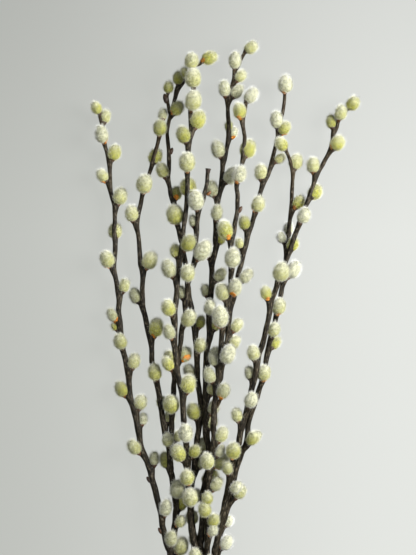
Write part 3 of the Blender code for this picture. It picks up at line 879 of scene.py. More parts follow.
@dataclass
class Wood:
    """A branch's bark: tapered tubes that swell to a raised shoulder under each catkin.

    Args:
        sides: points round a stem.
        cut_step: how far apart the slanted cut's rings lie along the stem.
        cut_rings: how many rings the cut pushes back.
        cut_slant: how far it runs back, as a share of the stem's radius.
        shoulder_length: how far below a node its shoulder starts.
        shoulder_height: how far the shoulder stands out at the node.
        shoulder_end: how far above the node it ends.
        shoulder_rise: how hollow its slope is.
        shoulder_spread: how narrow it is round the stem.
        collar: how much a side shoot swells just above where it leaves its parent.
        collar_length: how far it takes to grow to its full radius there.
        collar_foot: the share of its radius that it starts with.
        unevenness: how much the radius wanders, as a share of it.
        wave_paces: the least and greatest pace of that, in radians a metre.
        wave_lobes: how often it may come round the stem.
        young_gain: how much rounder than the frame's six-sided stems a tip is, as a share.
        bare_gain: the same for a tip without a catkin, which is stouter.
        young_length: how far from the tip that gain has fallen to about a third.
        tip_dome: how far the tip stands past its last ring, as a share of its radius.
    """

    sides: int = 12
    cut_step: float = 0.225 * MM
    cut_rings: int = 4
    cut_slant: float = 1.1
    shoulder_length: float = 12 * MM
    shoulder_height: float = 3.3 * MM
    shoulder_end: float = 1.6 * MM
    shoulder_rise: float = 1.5
    shoulder_spread: float = 1.6
    collar: float = 0.12
    collar_length: float = 9 * MM
    collar_foot: float = 0.35
    unevenness: float = 0.045
    wave_paces: Tuple[float, float] = (90, 400)
    wave_lobes: Tuple[int, ...] = (1, 2, 3)
    young_gain: float = 0.5
    bare_gain: float = 0.75
    young_length: float = 60 * MM
    tip_dome: float = 0.6

    def _girths(
        self, stem: Stem, from_butt: np.ndarray, turn: np.ndarray, is_shoot: bool, is_bare: bool,
        draw: Random,
    ) -> np.ndarray:
        """Give a stem's radii without its shoulders.

        Args:
            stem: the fine line of the stem.
            from_butt: how far from its butt each ring lies.
            turn: each side's angle.
            is_shoot: whether it leaves another stem.
            is_bare: whether it ends without a catkin.
            draw: the seeded source of its unevenness.

        Returns:
            The radii, one row a ring and one column a side.
        """
        waves = [
            (draw.uniform(*self.wave_paces), draw.uniform(0, math.tau), draw.choice(self.wave_lobes))
            for _ in range(5)
        ]
        gain = self.bare_gain if is_bare else self.young_gain
        stouter = gain * np.exp(-np.array(stem.to_tip) / self.young_length)
        girths = (np.array(stem.radii) * (1 + stouter))[:, None] * np.ones((len(from_butt), self.sides))
        for pace, phase, lobes in waves:
            girths *= 1 + self.unevenness * np.sin(pace * from_butt[:, None] + phase + lobes * turn[None, :])
        if is_shoot:
            grown = np.clip(from_butt / self.collar_length, 0, 1)
            swell = self.collar_foot + (1 - self.collar_foot) * np.sin(grown * math.pi / 2)
            girths *= (swell + self.collar * np.sin(grown * math.pi))[:, None]
        return girths

    def _shoulders(
        self, line: np.ndarray, from_butt: np.ndarray, turn: np.ndarray, catkins: Sequence[Catkin],
    ) -> np.ndarray:
        """Give how far the shoulders stand out.

        Args:
            line: the stem's points.
            from_butt: how far from its butt each lies.
            turn: each side's angle.
            catkins: the catkins on it.

        Returns:
            The heights, one row a ring and one column a side.
        """
        raised = np.zeros((len(line), self.sides))
        for catkin in catkins:
            if catkin.row == TIP:
                continue
            nearest = int(np.argmin(np.linalg.norm(line - np.array(catkin.node), axis=1)))
            before = float(from_butt[nearest]) - from_butt
            rise = np.where(
                before >= 0,
                np.clip(1 - before / self.shoulder_length, 0, 1) ** self.shoulder_rise,
                np.clip(1 + before / self.shoulder_end, 0, 1),
            )
            spread = np.clip(np.cos(turn - math.radians(catkin.side)), 0, 1) ** self.shoulder_spread
            # A long catkin has the full shoulder, a short one a little over half of it.
            height = self.shoulder_height * min(1.0, 0.55 + catkin.length / (40 * MM))
            raised = np.maximum(raised, height * rise[:, None] * spread[None, :])
        return raised

    def tube(
        self, draft: MeshDraft, stem: Stem, catkins: Sequence[Catkin], is_shoot: bool, draw: Random,
    ) -> None:
        """Add one stem or side shoot.

        Args:
            draft: the branch's bark so far.
            stem: the fine line of the stem.
            catkins: the catkins on it.
            is_shoot: whether it leaves another stem, so that it has a collar and no cut.
            draw: the seeded source of its unevenness.
        """
        line = np.array([tuple(point) for point in stem.line])
        heading = np.gradient(line, axis=0)
        heading /= np.linalg.norm(heading, axis=1)[:, None]
        from_butt = stem.to_tip[0] - np.array(stem.to_tip)
        turn = np.arange(self.sides) * math.tau / self.sides
        is_bare = not any(catkin.row == TIP for catkin in catkins)
        raised = self._shoulders(line, from_butt, turn, catkins)
        radii = self._girths(stem, from_butt, turn, is_shoot, is_bare, draw) + raised
        across = np.array([1.0, 0, 0]) - heading[:, :1] * heading
        across /= np.linalg.norm(across, axis=1)[:, None]
        over = np.cross(across, heading)
        cos, sin = np.cos(turn), np.sin(turn)
        spokes = cos[None, :, None] * across[:, None, :] + sin[None, :, None] * over[:, None, :]
        rings = line[:, None, :] + radii[:, :, None] * spokes
        if not is_shoot:
            slant = self.cut_slant * stem.radii[0] * (1 + np.sin(turn + draw.uniform(0, 6))) / 2
            for ring in range(self.cut_rings):
                behind = np.maximum(0, slant + ring * self.cut_step - from_butt[ring])
                rings[ring] += behind[:, None] * heading[ring][None, :]
        start = rings[0].mean(axis=0)
        end = line[-1] + self.tip_dome * stem.radii[-1] * heading[-1]
        points = np.concatenate([start[None], rings.reshape(-1, 3), end[None]])
        around = np.stack([radii * cos, radii * sin, from_butt[:, None] * np.ones_like(radii)], -1)
        grain = np.concatenate([[[0, 0, from_butt[0]]], around.reshape(-1, 3), [[0, 0, from_butt[-1]]]])
        # A bare tip has the dark bark of old wood.
        age = np.ones(len(line)) if is_bare else 1 - np.exp(-np.array(stem.to_tip) / Stem.GAIN_LENGTH)
        age = np.concatenate([[age[0]], np.repeat(age, self.sides), [age[-1]]])
        shoulder = np.concatenate([[0], (raised / self.shoulder_height).ravel(), [0]])
        faces = lathe_faces(len(line), self.sides)
        cut = [face for face in faces if 0 in face]
        bark = [face for face in faces if 0 not in face]
        slots = [0] * len(bark) + [0 if is_shoot else 1] * len(cut)
        draft.add(points, bark + cut, slots, grain=grain, age=age, shoulder=shoulder)

    def build(
        self, name: str, stems: Sequence[Stem], catkins: Sequence[Sequence[Catkin]],
        bark: Material, cut_wood: Material,
    ) -> Object:
        """Build a branch's bark.

        Args:
            name: the branch's name.
            stems: the fine lines of its stems, the main one first.
            catkins: the catkins on each.
            bark: the bark's material.
            cut_wood: the cut's material.

        Returns:
            The piece.
        """
        draft = MeshDraft()
        draw = Random(f"{SEED} {name} wood")
        for number, (stem, on_stem) in enumerate(zip(stems, catkins)):
            self.tube(draft, stem, on_stem, number > 0, draw)
        return draft.finish(f"{name}_wood", bark, cut_wood)


@dataclass
class Cores:
    """The catkins' bodies under their down: blunt eggs with spiral rows of florets.

    Args:
        rings: rings between the ends.
        sides: points round.
        down_depth: how much of the width the down takes up on each side.
        tip_depth: how much of the length it takes up at the tip.
        bluntness: how long the sides stay full towards the ends.
        roundness: how fast the ends close.
        taper: how much fuller the lower half is.
        belly: the least and greatest share by which one catkin is fuller than another.
        sag: the most that a catkin bends, as a share of its width.
        relief: how far the florets stand out, as a share of the width.
        rows: (rows round, turns along in radians) of the florets' two spirals.
    """

    rings: int = 10
    sides: int = 14
    down_depth: float = 0.6 * MM
    tip_depth: float = 1.0 * MM
    bluntness: float = 2.3
    roundness: float = 0.47
    taper: float = 0.12
    belly: Tuple[float, float] = (-0.05, 0.12)
    sag: float = 0.06
    relief: float = 0.05
    rows: Tuple[Tuple[int, int], Tuple[int, int]] = ((3, 16), (4, -13))

    def add(self, draft: MeshDraft, catkin: Catkin, draw: Random) -> None:
        """Add one catkin's body.

        Args:
            draft: the branch's bodies so far.
            catkin: the catkin.
            draw: the seeded source of its differences.
        """
        across, over, axis = frame_round(catkin.axis)
        length = catkin.length - self.tip_depth
        half = catkin.slimness * catkin.width / 2 - self.down_depth
        share = 0.5 - 0.5 * np.cos(np.arange(1, self.rings + 1) / (self.rings + 1) * math.pi)
        belly = 0.3 * draw.uniform(*self.belly)
        outline = np.clip(1 - np.abs(2 * share - 1) ** self.bluntness, 0, 1) ** self.roundness
        outline = outline * (1 + self.taper * (1 - 2 * share) + belly)
        turn = np.arange(self.sides) * math.tau / self.sides
        spirals = [np.cos(count * turn[None, :] + pitch * share[:, None]) for count, pitch in self.rows]
        radii = half * outline[:, None] * (1 + self.relief * (spirals[0] * spirals[1]))
        sag = draw.uniform(-self.sag, self.sag) * catkin.width
        swing = draw.uniform(0, math.tau)
        lift = np.concatenate([[0.0], share, [1.0]])
        centres = np.array(catkin.base)[None] + lift[:, None] * length * axis[None]
        curve = (4 * lift * (1 - lift))[:, None] * sag
        centres = centres + curve * (math.cos(swing) * across + math.sin(swing) * over)[None]
        points, faces = lathe(centres, across, over, radii)
        count = len(points)
        draft.add(
            points, faces,
            along=np.concatenate([[0.0], np.repeat(share, self.sides), [1.0]]),
            tint=np.full(count, catkin.tint),
            # The catkin's painted shading: how much darker it is drawn where it lies in shadow.
            painted_shade=np.full(count, catkin.painted_shade),
            axis=np.repeat(axis[None], count, axis=0),
        )

    def build(self, name: str, catkins: Sequence[Catkin], core: Material) -> Object:
        """Build the bodies of a branch's catkins.

        Args:
            name: the branch's name.
            catkins: its catkins.
            core: the bodies' material.

        Returns:
            The piece.
        """
        draft = MeshDraft()
        draw = Random(f"{SEED} {name} cores")
        for catkin in catkins:
            self.add(draft, catkin, draw)
        return draft.finish(f"{name}_catkins", core)


@dataclass
class Scales:
    """What is left of the bud scales: a dark cup under each catkin, an orange scale on some, and the
    whole scales of the bare buds.

    Args:
        sides: points round a cup.
        cup_profile: (lift, radius) of a cup's rings in mm, up its outside and down its inside.
        cup_ends: how far below and above its catkin's foot it closes, in mm.
        full_length: the shortest catkin with a full cup.
        torn: how much lower and higher its rim may be, in mm.
        thickness: how thick a scale is.
        cup_tones: a cup's least and greatest tone, from dark brown to orange.
        foot: how far below the catkin's foot an orange scale starts.
        least_radius: how near the catkin's axis it may lie.
        stand_off: how far it stands off the catkin.
        flare: how much further its tip does.
        hug: how wide the outline that it follows is, as a share of the catkin's.
        open_tip: how far below the catkin's tip that outline closes.
        bearings: where round a catkin it may stand, in degrees.
        half_angles: how far it reaches round to each side, in radians.
        orange_tones: its least and greatest tone.
        bud_sides: points round a bud.
        bud_length: a bare bud's length.
        bud_radius: its greatest radius.
        bud_profile: (share of the length, share of the radius) of its rings.
        knob_profile: the same for the hollow scar at a bare tip.
        knob_hollow: how deep that hollow goes, as a share of the length.
        knob_sink: how far the scar starts below the tip, the same way.
    """

    sides: int = 10
    cup_profile: Profile = ((-2.4, 1.5), (-1.2, 2.2), (-0.1, 2.75), (1.7, 3.7), (1.7, 3.7), (0.3, 2.4))
    cup_ends: Tuple[float, float] = (3.2, 0.1)
    full_length: float = 16 * MM
    torn: Tuple[float, float] = (-0.9, 0.6)
    thickness: float = 0.35 * MM
    cup_tones: Tuple[float, float] = (0.1, 0.6)
    foot: float = 0.8 * MM
    least_radius: float = 2.7 * MM
    stand_off: float = 0.25 * MM
    flare: float = 0.5 * MM
    hug: float = 1.1
    open_tip: float = 1.3 * MM
    bearings: Tuple[int, ...] = (35, 75, 110, 150)
    half_angles: Tuple[float, float] = (0.55, 0.8)
    orange_tones: Tuple[float, float] = (0.7, 1.0)
    bud_sides: int = 8
    bud_length: float = 7.5 * MM
    bud_radius: float = 2.0 * MM
    bud_profile: Profile = (
        (0.04, 0.62), (0.14, 0.9), (0.3, 1.0), (0.5, 1.0), (0.7, 0.86), (0.87, 0.56), (0.96, 0.26),
    )
    knob_profile: Profile = (
        (0.04, 1.1), (0.14, 1.12), (0.3, 1.16), (0.45, 1.34), (0.56, 1.42), (0.6, 1.1), (0.54, 0.55),
    )
    knob_hollow: float = 0.5
    knob_sink: float = 0.25

    def cup(self, draft: MeshDraft, catkin: Catkin, draw: Random) -> None:
        """Add the cup under a catkin.

        Args:
            draft: the branch's scales so far.
            catkin: the catkin.
            draw: the seeded source of its torn rim.
        """
        across, over, axis = frame_round(catkin.axis)
        base = np.array(catkin.base)
        small = min(1.0, catkin.length / self.full_length)
        lifts, widths = np.array(self.cup_profile).T * MM
        widths = widths * small
        widths[4] -= self.thickness
        below, above = self.cup_ends
        ends = (base - below * MM * axis)[None], (base + above * MM * axis)[None]
        centres = np.concatenate([ends[0], base[None] + lifts[:, None] * axis[None], ends[1]])
        points, faces = lathe(centres, across, over, widths[:, None] * np.ones((6, self.sides)))
        torn = np.array([draw.uniform(*self.torn) for _ in range(self.sides)]) * MM * small
        for first in (1 + 3 * self.sides, 1 + 4 * self.sides):
            points[first : first + self.sides] += torn[:, None] * axis[None]
        dark, pale = self.cup_tones
        draft.add(points, faces, tone=np.full(len(points), dark + (pale - dark) * draw.random() ** 2))

    def scale(self, draft: MeshDraft, catkin: Catkin, draw: Random, reach: float) -> None:
        """Add an orange scale that hugs a catkin's base.

        Args:
            draft: the branch's scales so far.
            catkin: the catkin.
            draw: the seeded source of its differences.
            reach: how far up the catkin it reaches, in metres.
        """
        across, over, axis = frame_round(catkin.axis)
        base = np.array(catkin.base)
        steps, columns = 6, 5
        bearing = math.radians(draw.choice(self.bearings))
        half_angle = draw.uniform(*self.half_angles)
        outer, inner = [], []
        for step in range(steps):
            t = step / (steps - 1)
            lift = -self.foot + t * (reach + self.foot)
            share = max(0.0, min(1.0, lift / (catkin.length - self.open_tip)))
            fullness = math.sqrt(max(0.0, 1 - (2 * share - 1) ** 2))
            hug = (catkin.width / 2 - self.thickness) * fullness * self.hug
            radius = max(self.least_radius, hug) + self.stand_off + self.flare * t**3
            # It widens a little from its foot and closes to a point.
            spread = half_angle * (1 - t**2.2) * (0.8 + 0.6 * t) + 0.03
            for column in range(columns):
                angle = bearing + spread * (2 * column / (columns - 1) - 1)
                spoke = math.cos(angle) * across + math.sin(angle) * over
                outer.append(base + lift * axis + radius * spoke)
                inner.append(base + lift * axis + (radius - self.thickness) * spoke)
        tone = np.full(2 * len(outer), draw.uniform(*self.orange_tones))
        draft.add(np.array(outer + inner), shell_faces(steps, columns), tone=tone)

    def bud(
        self, draft: MeshDraft, stem: Stem, row: Row, side: float, shape: BudShape, draw: Random,
    ) -> None:
        """Add a bare bud, or the hollow scar of a fallen one at a tip.

        Args:
            draft: the branch's scales so far.
            stem: the fine line of its stem.
            row: the row of its node, or TIP.
            side: degrees round the stem.
            shape: how it sits.
            draw: the seeded source of its differences.
        """
        node, up, radius = stem.at_row(row)
        if row == TIP:
            leant = up
            low = node - self.knob_sink * self.bud_length * up
            profile, end = self.knob_profile, self.knob_hollow
        else:
            out = outward(side)
            lean = math.radians(shape.lean)
            leant = (math.cos(lean) * up + math.sin(lean) * out).normalized()
            low = node + shape.seat * radius * out
            profile, end = self.bud_profile, 1.0
        across, over, axis = frame_round(leant)
        share, outline = np.array(profile).T
        lift = np.concatenate([[0.0], share, [end]])
        centres = np.array(low)[None] + lift[:, None] * shape.size * self.bud_length * axis[None]
        radii = shape.size * self.bud_radius * outline[:, None] * np.ones((1, self.bud_sides))
        points, faces = lathe(centres, across, over, radii)
        draft.add(points, faces, tone=np.full(len(points), draw.uniform(*shape.tone)))

    def build(
        self, name: str, stems: Sequence[Stem], catkins: Sequence[Sequence[Catkin]],
        scale: Material,
    ) -> Object:
        """Build a branch's scales.

        Args:
            name: the branch's name.
            stems: the fine lines of its stems.
            catkins: the catkins on each.
            scale: the scales' material.

        Returns:
            The piece.
        """
        draft = MeshDraft()
        draw = Random(f"{SEED} {name} scales")
        for number, (shoot, stem, on_stem) in enumerate(zip(BRANCHES[name], stems, catkins)):
            kept = ORANGE_SCALES.get((name, number), {})
            for row, side in shoot.buds:
                shape = BUD_SHAPES.get((name, number, row), BudShape())
                self.bud(draft, stem, row, side.value, shape, draw)
            for catkin in on_stem:
                self.cup(draft, catkin, draw)
                if catkin.row in kept:
                    self.scale(draft, catkin, draw, kept[catkin.row] * MM)
        return draft.finish(f"{name}_bud_scales", scale)


class NodeSheet:
    """Short ways to add and join nodes in a shader or geometry tree."""

    def __init__(self, tree: bpy.types.NodeTree) -> None:
        """Work on a tree."""
        self.tree = tree

    def put(self, socket: Socket, value: Value) -> None:
        """Give an input its value.

        Args:
            socket: the input.
            value: a constant, or the output that feeds it; a colour may leave out its alpha.
        """
        if isinstance(value, Socket):
            self.tree.links.new(value, socket)
        elif socket.type == "RGBA" and len(value) == 3:
            socket.default_value = (*value, 1)
        else:
            socket.default_value = value

    def add(
        self, kind: str, inputs: Optional[Dict[Union[int, str], Value]] = None, **settings: object,
    ) -> Outputs:
        """Add a node.

        Args:
            kind: the node's type.
            inputs: values or sockets for its inputs, by name or number.
            **settings: its own settings.

        Returns:
            Its outputs.
        """
        node = self.tree.nodes.new(kind)
        for name, value in settings.items():
            setattr(node, name, value)
        for name, value in (inputs or {}).items():
            self.put(node.inputs[name], value)
        return node.outputs

    def math(self, operation: str, *values: Value) -> Socket:
        """Add a math node and give its result."""
        return self.add("ShaderNodeMath", dict(enumerate(values)), operation=operation)[0]

    def vector(self, operation: str, *values: Value) -> Socket:
        """Add a vector math node.

        Args:
            operation: what it does.
            *values: what it does it to; the second is the scale for SCALE.

        Returns:
            Its vector.
        """
        inputs = dict(enumerate(values))
        if operation == "SCALE":
            inputs["Scale"] = inputs.pop(1)
        return self.add("ShaderNodeVectorMath", inputs, operation=operation)[0]

    def mix(self, share: Value, first: Value, second: Value, blend: str = "MIX") -> Socket:
        """Mix two colours.

        Args:
            share: how much of the second there is.
            first: the first colour.
            second: the second colour.
            blend: how they are mixed.

        Returns:
            The mixed colour.
        """
        inputs = {0: share, 6: first, 7: second}
        return self.add("ShaderNodeMix", inputs, data_type="RGBA", blend_type=blend)[2]

    def over(self, color: Value, mask: Value, most: float, other: Value) -> Socket:
        """Lay a colour over another where a mask says.

        Args:
            color: the colour below.
            mask: where the other lies.
            most: how much of it there is where the mask is 1.
            other: the other colour.

        Returns:
            The new colour.
        """
        return self.mix(self.math("MULTIPLY", mask, most), color, other)

    def ramp(
        self, value: Value, low: float, high: float, to_low: float = 0.0, to_high: float = 1.0,
    ) -> Socket:
        """Map a value smoothly from one range to another, held at its ends.

        Args:
            value: the value.
            low: where its range starts.
            high: where its range ends.
            to_low: what it becomes at the start.
            to_high: what it becomes at the end.

        Returns:
            The new value.
        """
        inputs = {0: value, 1: low, 2: high, 3: to_low, 4: to_high}
        return self.add("ShaderNodeMapRange", inputs, interpolation_type="SMOOTHSTEP")[0]

    def noise(self, place: Value, scale: Value, detail: float) -> Socket:
        """Add a noise texture.

        Args:
            place: where it is read.
            scale: its scale.
            detail: its finer octaves.

        Returns:
            Its value.
        """
        return self.add("ShaderNodeTexNoise", {"Vector": place, "Scale": scale, "Detail": detail})[0]

    def attribute(self, name: str, output: str = "Fac") -> Socket:
        """Read a point attribute in a material."""
        return self.add("ShaderNodeAttribute", attribute_name=name)[output]

    def place(self) -> Socket:
        """Read the Object coordinates in a material."""
        return self.add("ShaderNodeTexCoord")["Object"]


@dataclass
class Down:
    """The silver hairs of the catkins: straight three-sided needles that stand on their bodies and
    lean to the tip, pressed flat where the table is in their way.

    Args:
        density: hairs on a square metre.
        length: a hair's length.
        radius: its radius at the root.
        lift: how much of its direction is straight out.
        sweep: how much of it is along the catkin.
        scatter: how much of it is chance.
        sizes: the shortest and longest hair, as a share of the length.
        crown: the same at the catkin's foot and at its tip.
        clumping: the same between and in the clumps.
        clump_scale: the clumps' noise scale.
    """

    density: float = 2.5e6
    length: float = 2.7 * MM
    radius: float = 0.068 * MM
    lift: float = 0.78
    sweep: float = 0.6
    scatter: float = 0.36
    sizes: Tuple[float, float] = (0.7, 1.25)
    crown: Tuple[float, float] = (0.72, 1.12)
    clumping: Tuple[float, float] = (0.55, 1.2)
    clump_scale: float = 420.0

    def tree(self) -> bpy.types.GeometryNodeTree:
        """Build the tree that grows the hairs on a catkin body.

        Returns:
            The tree, with its sizes, seed and material as named inputs.
        """
        tree = bpy.data.node_groups.new("down_on_catkins", "GeometryNodeTree")
        kinds = {
            "Bodies": ("Geometry", None), "Density": ("Float", self.density),
            "Length": ("Float", self.length), "Radius": ("Float", self.radius),
            "Lift": ("Float", self.lift), "Sweep": ("Float", self.sweep),
            "Scatter": ("Float", self.scatter), "Seed": ("Int", SEED), "Finish": ("Material", None),
        }
        for label, (kind, value) in kinds.items():
            socket = tree.interface.new_socket(label, in_out="INPUT", socket_type=f"NodeSocket{kind}")
            if value is not None:
                socket.default_value = value
        tree.interface.new_socket("Hairs", in_out="OUTPUT", socket_type="NodeSocketGeometry")
        sheet = NodeSheet(tree)
        given = sheet.add("NodeGroupInput")
        roots = sheet.add(
            "GeometryNodeDistributePointsOnFaces",
            {"Mesh": given["Bodies"], "Density": given["Density"], "Seed": given["Seed"]},
        )
        turned = self._headings(sheet, given, roots["Normal"])
        scaled = sheet.add("ShaderNodeCombineXYZ", {0: 1.0, 1: 1.0, 2: self._lengths(sheet, given)})
        planted = sheet.add(
            "GeometryNodeInstanceOnPoints",
            {"Points": roots["Points"], "Instance": self._hair(sheet, given), "Rotation": turned,
             "Scale": scaled[0]},
        )
        real = sheet.add("GeometryNodeRealizeInstances", {"Geometry": planted[0]})
        dressed = sheet.add("GeometryNodeSetMaterial", {"Geometry": real[0], "Material": given["Finish"]})
        sheet.add("NodeGroupOutput", {0: dressed[0]})
        return tree

    @staticmethod
    def _named(sheet: NodeSheet, name: str, kind: str) -> Socket:
        """Read a named attribute in a geometry tree."""
        return sheet.add("GeometryNodeInputNamedAttribute", {"Name": name}, data_type=kind)[0]

    def _headings(
        self, sheet: NodeSheet, given: Outputs, normal: Socket,
    ) -> Socket:
        """Turn each hair out from its body and to the catkin's tip, and a little astray.

        Args:
            sheet: the tree's node sheet.
            given: the tree's inputs.
            normal: the way out at a root.

        Returns:
            The rotation.
        """
        chance = sheet.add(
            "FunctionNodeRandomValue", {0: (-1, -1, -1), 1: (1, 1, 1), "Seed": given["Seed"]},
            data_type="FLOAT_VECTOR",
        )
        out = sheet.vector("SCALE", normal, given["Lift"])
        up = sheet.vector("SCALE", self._named(sheet, "axis", "FLOAT_VECTOR"), given["Sweep"])
        stray = sheet.vector("SCALE", chance[0], given["Scatter"])
        heading = sheet.vector("NORMALIZE", sheet.vector("ADD", sheet.vector("ADD", out, up), stray))
        return sheet.add("FunctionNodeAlignRotationToVector", {"Vector": heading}, axis="Z")[0]

    def _lengths(self, sheet: NodeSheet, given: Outputs) -> Socket:
        """Vary the hairs' length by chance, along the catkin and in clumps.

        Args:
            sheet: the tree's node sheet.
            given: the tree's inputs.

        Returns:
            A hair's length as a share of the full one.
        """
        low, high = self.sizes
        size = sheet.add(
            "FunctionNodeRandomValue", {2: low, 3: high, "Seed": given["Seed"]}, data_type="FLOAT"
        )
        foot, tip = self.crown
        along = self._named(sheet, "along", "FLOAT")
        longer = sheet.add("ShaderNodeMapRange", {0: along, 1: 0.0, 2: 1.0, 3: foot, 4: tip})
        clumps = sheet.add("ShaderNodeTexNoise", {"Scale": self.clump_scale, "Detail": 1.0})[0]
        clumped = sheet.ramp(clumps, 0.36, 0.62, *self.clumping)
        return sheet.math("MULTIPLY", sheet.math("MULTIPLY", size[1], longer[0]), clumped)

    @staticmethod
    def _hair(sheet: NodeSheet, given: Outputs) -> Socket:
        """Make one hair, with how far up it a point lies as the attribute reach.

        Args:
            sheet: the tree's node sheet.
            given: the tree's inputs.

        Returns:
            The hair's mesh.
        """
        hair = sheet.add(
            "GeometryNodeMeshCone",
            {"Vertices": 3, "Side Segments": 1, "Radius Top": 0.0,
             "Radius Bottom": given["Radius"], "Depth": given["Length"]},
            fill_type="NONE",
        )
        height = sheet.add("ShaderNodeSeparateXYZ", {0: sheet.add("GeometryNodeInputPosition")[0]})[2]
        reach = sheet.math("DIVIDE", height, given["Length"])
        return sheet.add(
            "GeometryNodeStoreNamedAttribute",
            {"Geometry": hair["Mesh"], "Name": "reach", "Value": reach},
            data_type="FLOAT", domain="POINT",
        )[0]

    def build(
        self, name: str, bodies: Object, tree: bpy.types.GeometryNodeTree,
        hair: Material, number: int,
    ) -> Object:
        """Grow the down on a branch's catkins.

        Args:
            name: the branch's name.
            bodies: the piece with the catkins' bodies.
            tree: the tree that grows the hairs.
            hair: the hairs' material.
            number: the branch's number, which sets its seed apart.

        Returns:
            The piece, a plain mesh.
        """
        grower = linked(f"{name}_grower", bodies.data.copy())
        modifier = grower.modifiers.new("down", "NODES")
        modifier.node_group = tree
        given = {"Finish": hair, "Seed": SEED + number}
        for item in tree.interface.items_tree:
            if item.in_out == "INPUT" and item.name in given:
                modifier[item.identifier] = given[item.name]
        bpy.context.view_layer.update()
        graph = bpy.context.evaluated_depsgraph_get()
        mesh = bpy.data.meshes.new_from_object(grower.evaluated_get(graph))
        bpy.data.objects.remove(grower)
        places = np.empty(len(mesh.vertices) * 3)
        mesh.vertices.foreach_get("co", places)
        places[2::3] = np.maximum(places[2::3], TABLE_CLEARANCE)
        mesh.vertices.foreach_set("co", places)
        mesh.update()
        mesh.name = f"{name}_down"
        return linked(mesh.name, mesh)


@dataclass(frozen=True)
class Patches:
    """How a finish's two colours lie: the scale of the patches, of the grain, and the grain's share."""

    patch: float
    grain: float
    share: float


@dataclass(frozen=True)
class Ridges:
    """A finish's relief: the scale of its coarse and fine ridges, the fine ones' share, and how
    strong and how high in metres the whole is."""

    coarse: float
    fine: float
    share: float
    strength: float
    height: float


class SharedGroups:
    """The shader node groups that more than one finish uses, each built once."""

    def __init__(self) -> None:
        """Build both groups."""
        self.mottle = self._mottle()
        self.relief = self._relief()

    @staticmethod
    def _group(name: str, inputs: Dict[str, object], outputs: Dict[str, str]) -> NodeSheet:
        """Start a group with named sockets.

        Args:
            name: the group's name.
            inputs: the default of each input by its label: a number, a colour, or None for a place.
            outputs: the socket type of each output by its label.

        Returns:
            The sheet of the group's tree.
        """
        tree = bpy.data.node_groups.new(name, "ShaderNodeTree")
        for label, value in inputs.items():
            kind = "Vector" if value is None else "Color" if isinstance(value, tuple) else "Float"
            socket = tree.interface.new_socket(label, in_out="INPUT", socket_type=f"NodeSocket{kind}")
            if value is not None:
                socket.default_value = value
        for label, kind in outputs.items():
            tree.interface.new_socket(label, in_out="OUTPUT", socket_type=kind)
        return NodeSheet(tree)

    @staticmethod
    def _two_noises(sheet: NodeSheet, first: tuple, second: tuple, share: Value) -> Socket:
        """Add two sizes of noise up.

        Args:
            sheet: the group's node sheet.
            first: the place, scale and detail of the first.
            second: the same of the second.
            share: how much of the second there is.

        Returns:
            Their mix.
        """
        inputs = {0: share, 2: sheet.noise(*first), 3: sheet.noise(*second)}
        return sheet.add("ShaderNodeMix", inputs, data_type="FLOAT")[0]

    def _mottle(self) -> bpy.types.ShaderNodeTree:
        """Blend two colours in soft natural patches, with a fine grain over them.

        Returns:
            The group's tree.
        """
        sheet = self._group(
            "natural_mottle",
            {"Place": None, "Patch Scale": 200.0, "Grain Scale": 1500.0, "Grain Share": 0.3,
             "Dark": (0.2, 0.2, 0.2, 1), "Light": (0.6, 0.6, 0.6, 1)},
            {"Color": "NodeSocketColor", "Mask": "NodeSocketFloat"},
        )
        given = sheet.add("NodeGroupInput")
        patch = (given["Place"], given["Patch Scale"], 3.0)
        grain = (given["Place"], given["Grain Scale"], 2.0)
        mask = sheet.ramp(self._two_noises(sheet, patch, grain, given["Grain Share"]), 0.36, 0.64)
        sheet.add("NodeGroupOutput", {0: sheet.mix(mask, given["Dark"], given["Light"]), 1: mask})
        return sheet.tree

    def _relief(self) -> bpy.types.ShaderNodeTree:
        """Add up two sizes of ridges into a height for a Bump node.

        Returns:
            The group's tree.
        """
        sheet = self._group(
            "grown_relief",
            {"Place": None, "Coarse": 400.0, "Fine": 1800.0, "Fine Share": 0.4},
            {"Height": "NodeSocketFloat"},
        )
        given = sheet.add("NodeGroupInput")
        coarse = (given["Place"], given["Coarse"], 4.0)
        fine = (given["Place"], given["Fine"], 2.0)
        height = self._two_noises(sheet, coarse, fine, given["Fine Share"])
        sheet.add("NodeGroupOutput", {0: height})
        return sheet.tree


class MaterialSheet(NodeSheet):
    """The node sheet of a new material, with its Principled shader."""

    def __init__(self, name: str, groups: Optional[SharedGroups] = None) -> None:
        """Start a material.

        Args:
            name: its name.
            groups: the shared shader groups, where it uses them.
        """
        self.material = bpy.data.materials.new(name)
        self.material.use_nodes = True
        super().__init__(self.material.node_tree)
        self.groups = groups

    def mottle(self, place: Value, patches: Patches, dark: tuple, light: tuple) -> Outputs:
        """Place the shared mottle.

        Args:
            place: where it is read.
            patches: its scales.
            dark: the one colour.
            light: the other.

        Returns:
            Its Color and Mask.
        """
        inputs = {
            "Place": place, "Patch Scale": patches.patch, "Grain Scale": patches.grain,
            "Grain Share": patches.share, "Dark": dark, "Light": light,
        }
        return self.add("ShaderNodeGroup", inputs, node_tree=self.groups.mottle)

    def bump(
        self, place: Value, ridges: Ridges, more: Optional[Socket] = None,
    ) -> Socket:
        """Place the shared relief and turn it into a bump.

        Args:
            place: where it is read.
            ridges: its scales and strength.
            more: a height to add to it.

        Returns:
            The bumped normal.
        """
        inputs = {
            "Place": place, "Coarse": ridges.coarse, "Fine": ridges.fine, "Fine Share": ridges.share,
        }
        height = self.add("ShaderNodeGroup", inputs, node_tree=self.groups.relief)["Height"]
        if more:
            height = self.math("ADD", height, more)
        inputs = {"Strength": ridges.strength, "Distance": ridges.height, "Height": height}
        return self.add("ShaderNodeBump", inputs)[0]

    def shaded(self, inputs: Dict[str, Value]) -> Material:
        """Feed the Principled shader.

        Args:
            inputs: its values or sockets by name.

        Returns:
            The material.
        """
        shader = self.tree.nodes["Principled BSDF"]
        for name, value in inputs.items():
            self.put(shader.inputs[name], value)
        return self.material


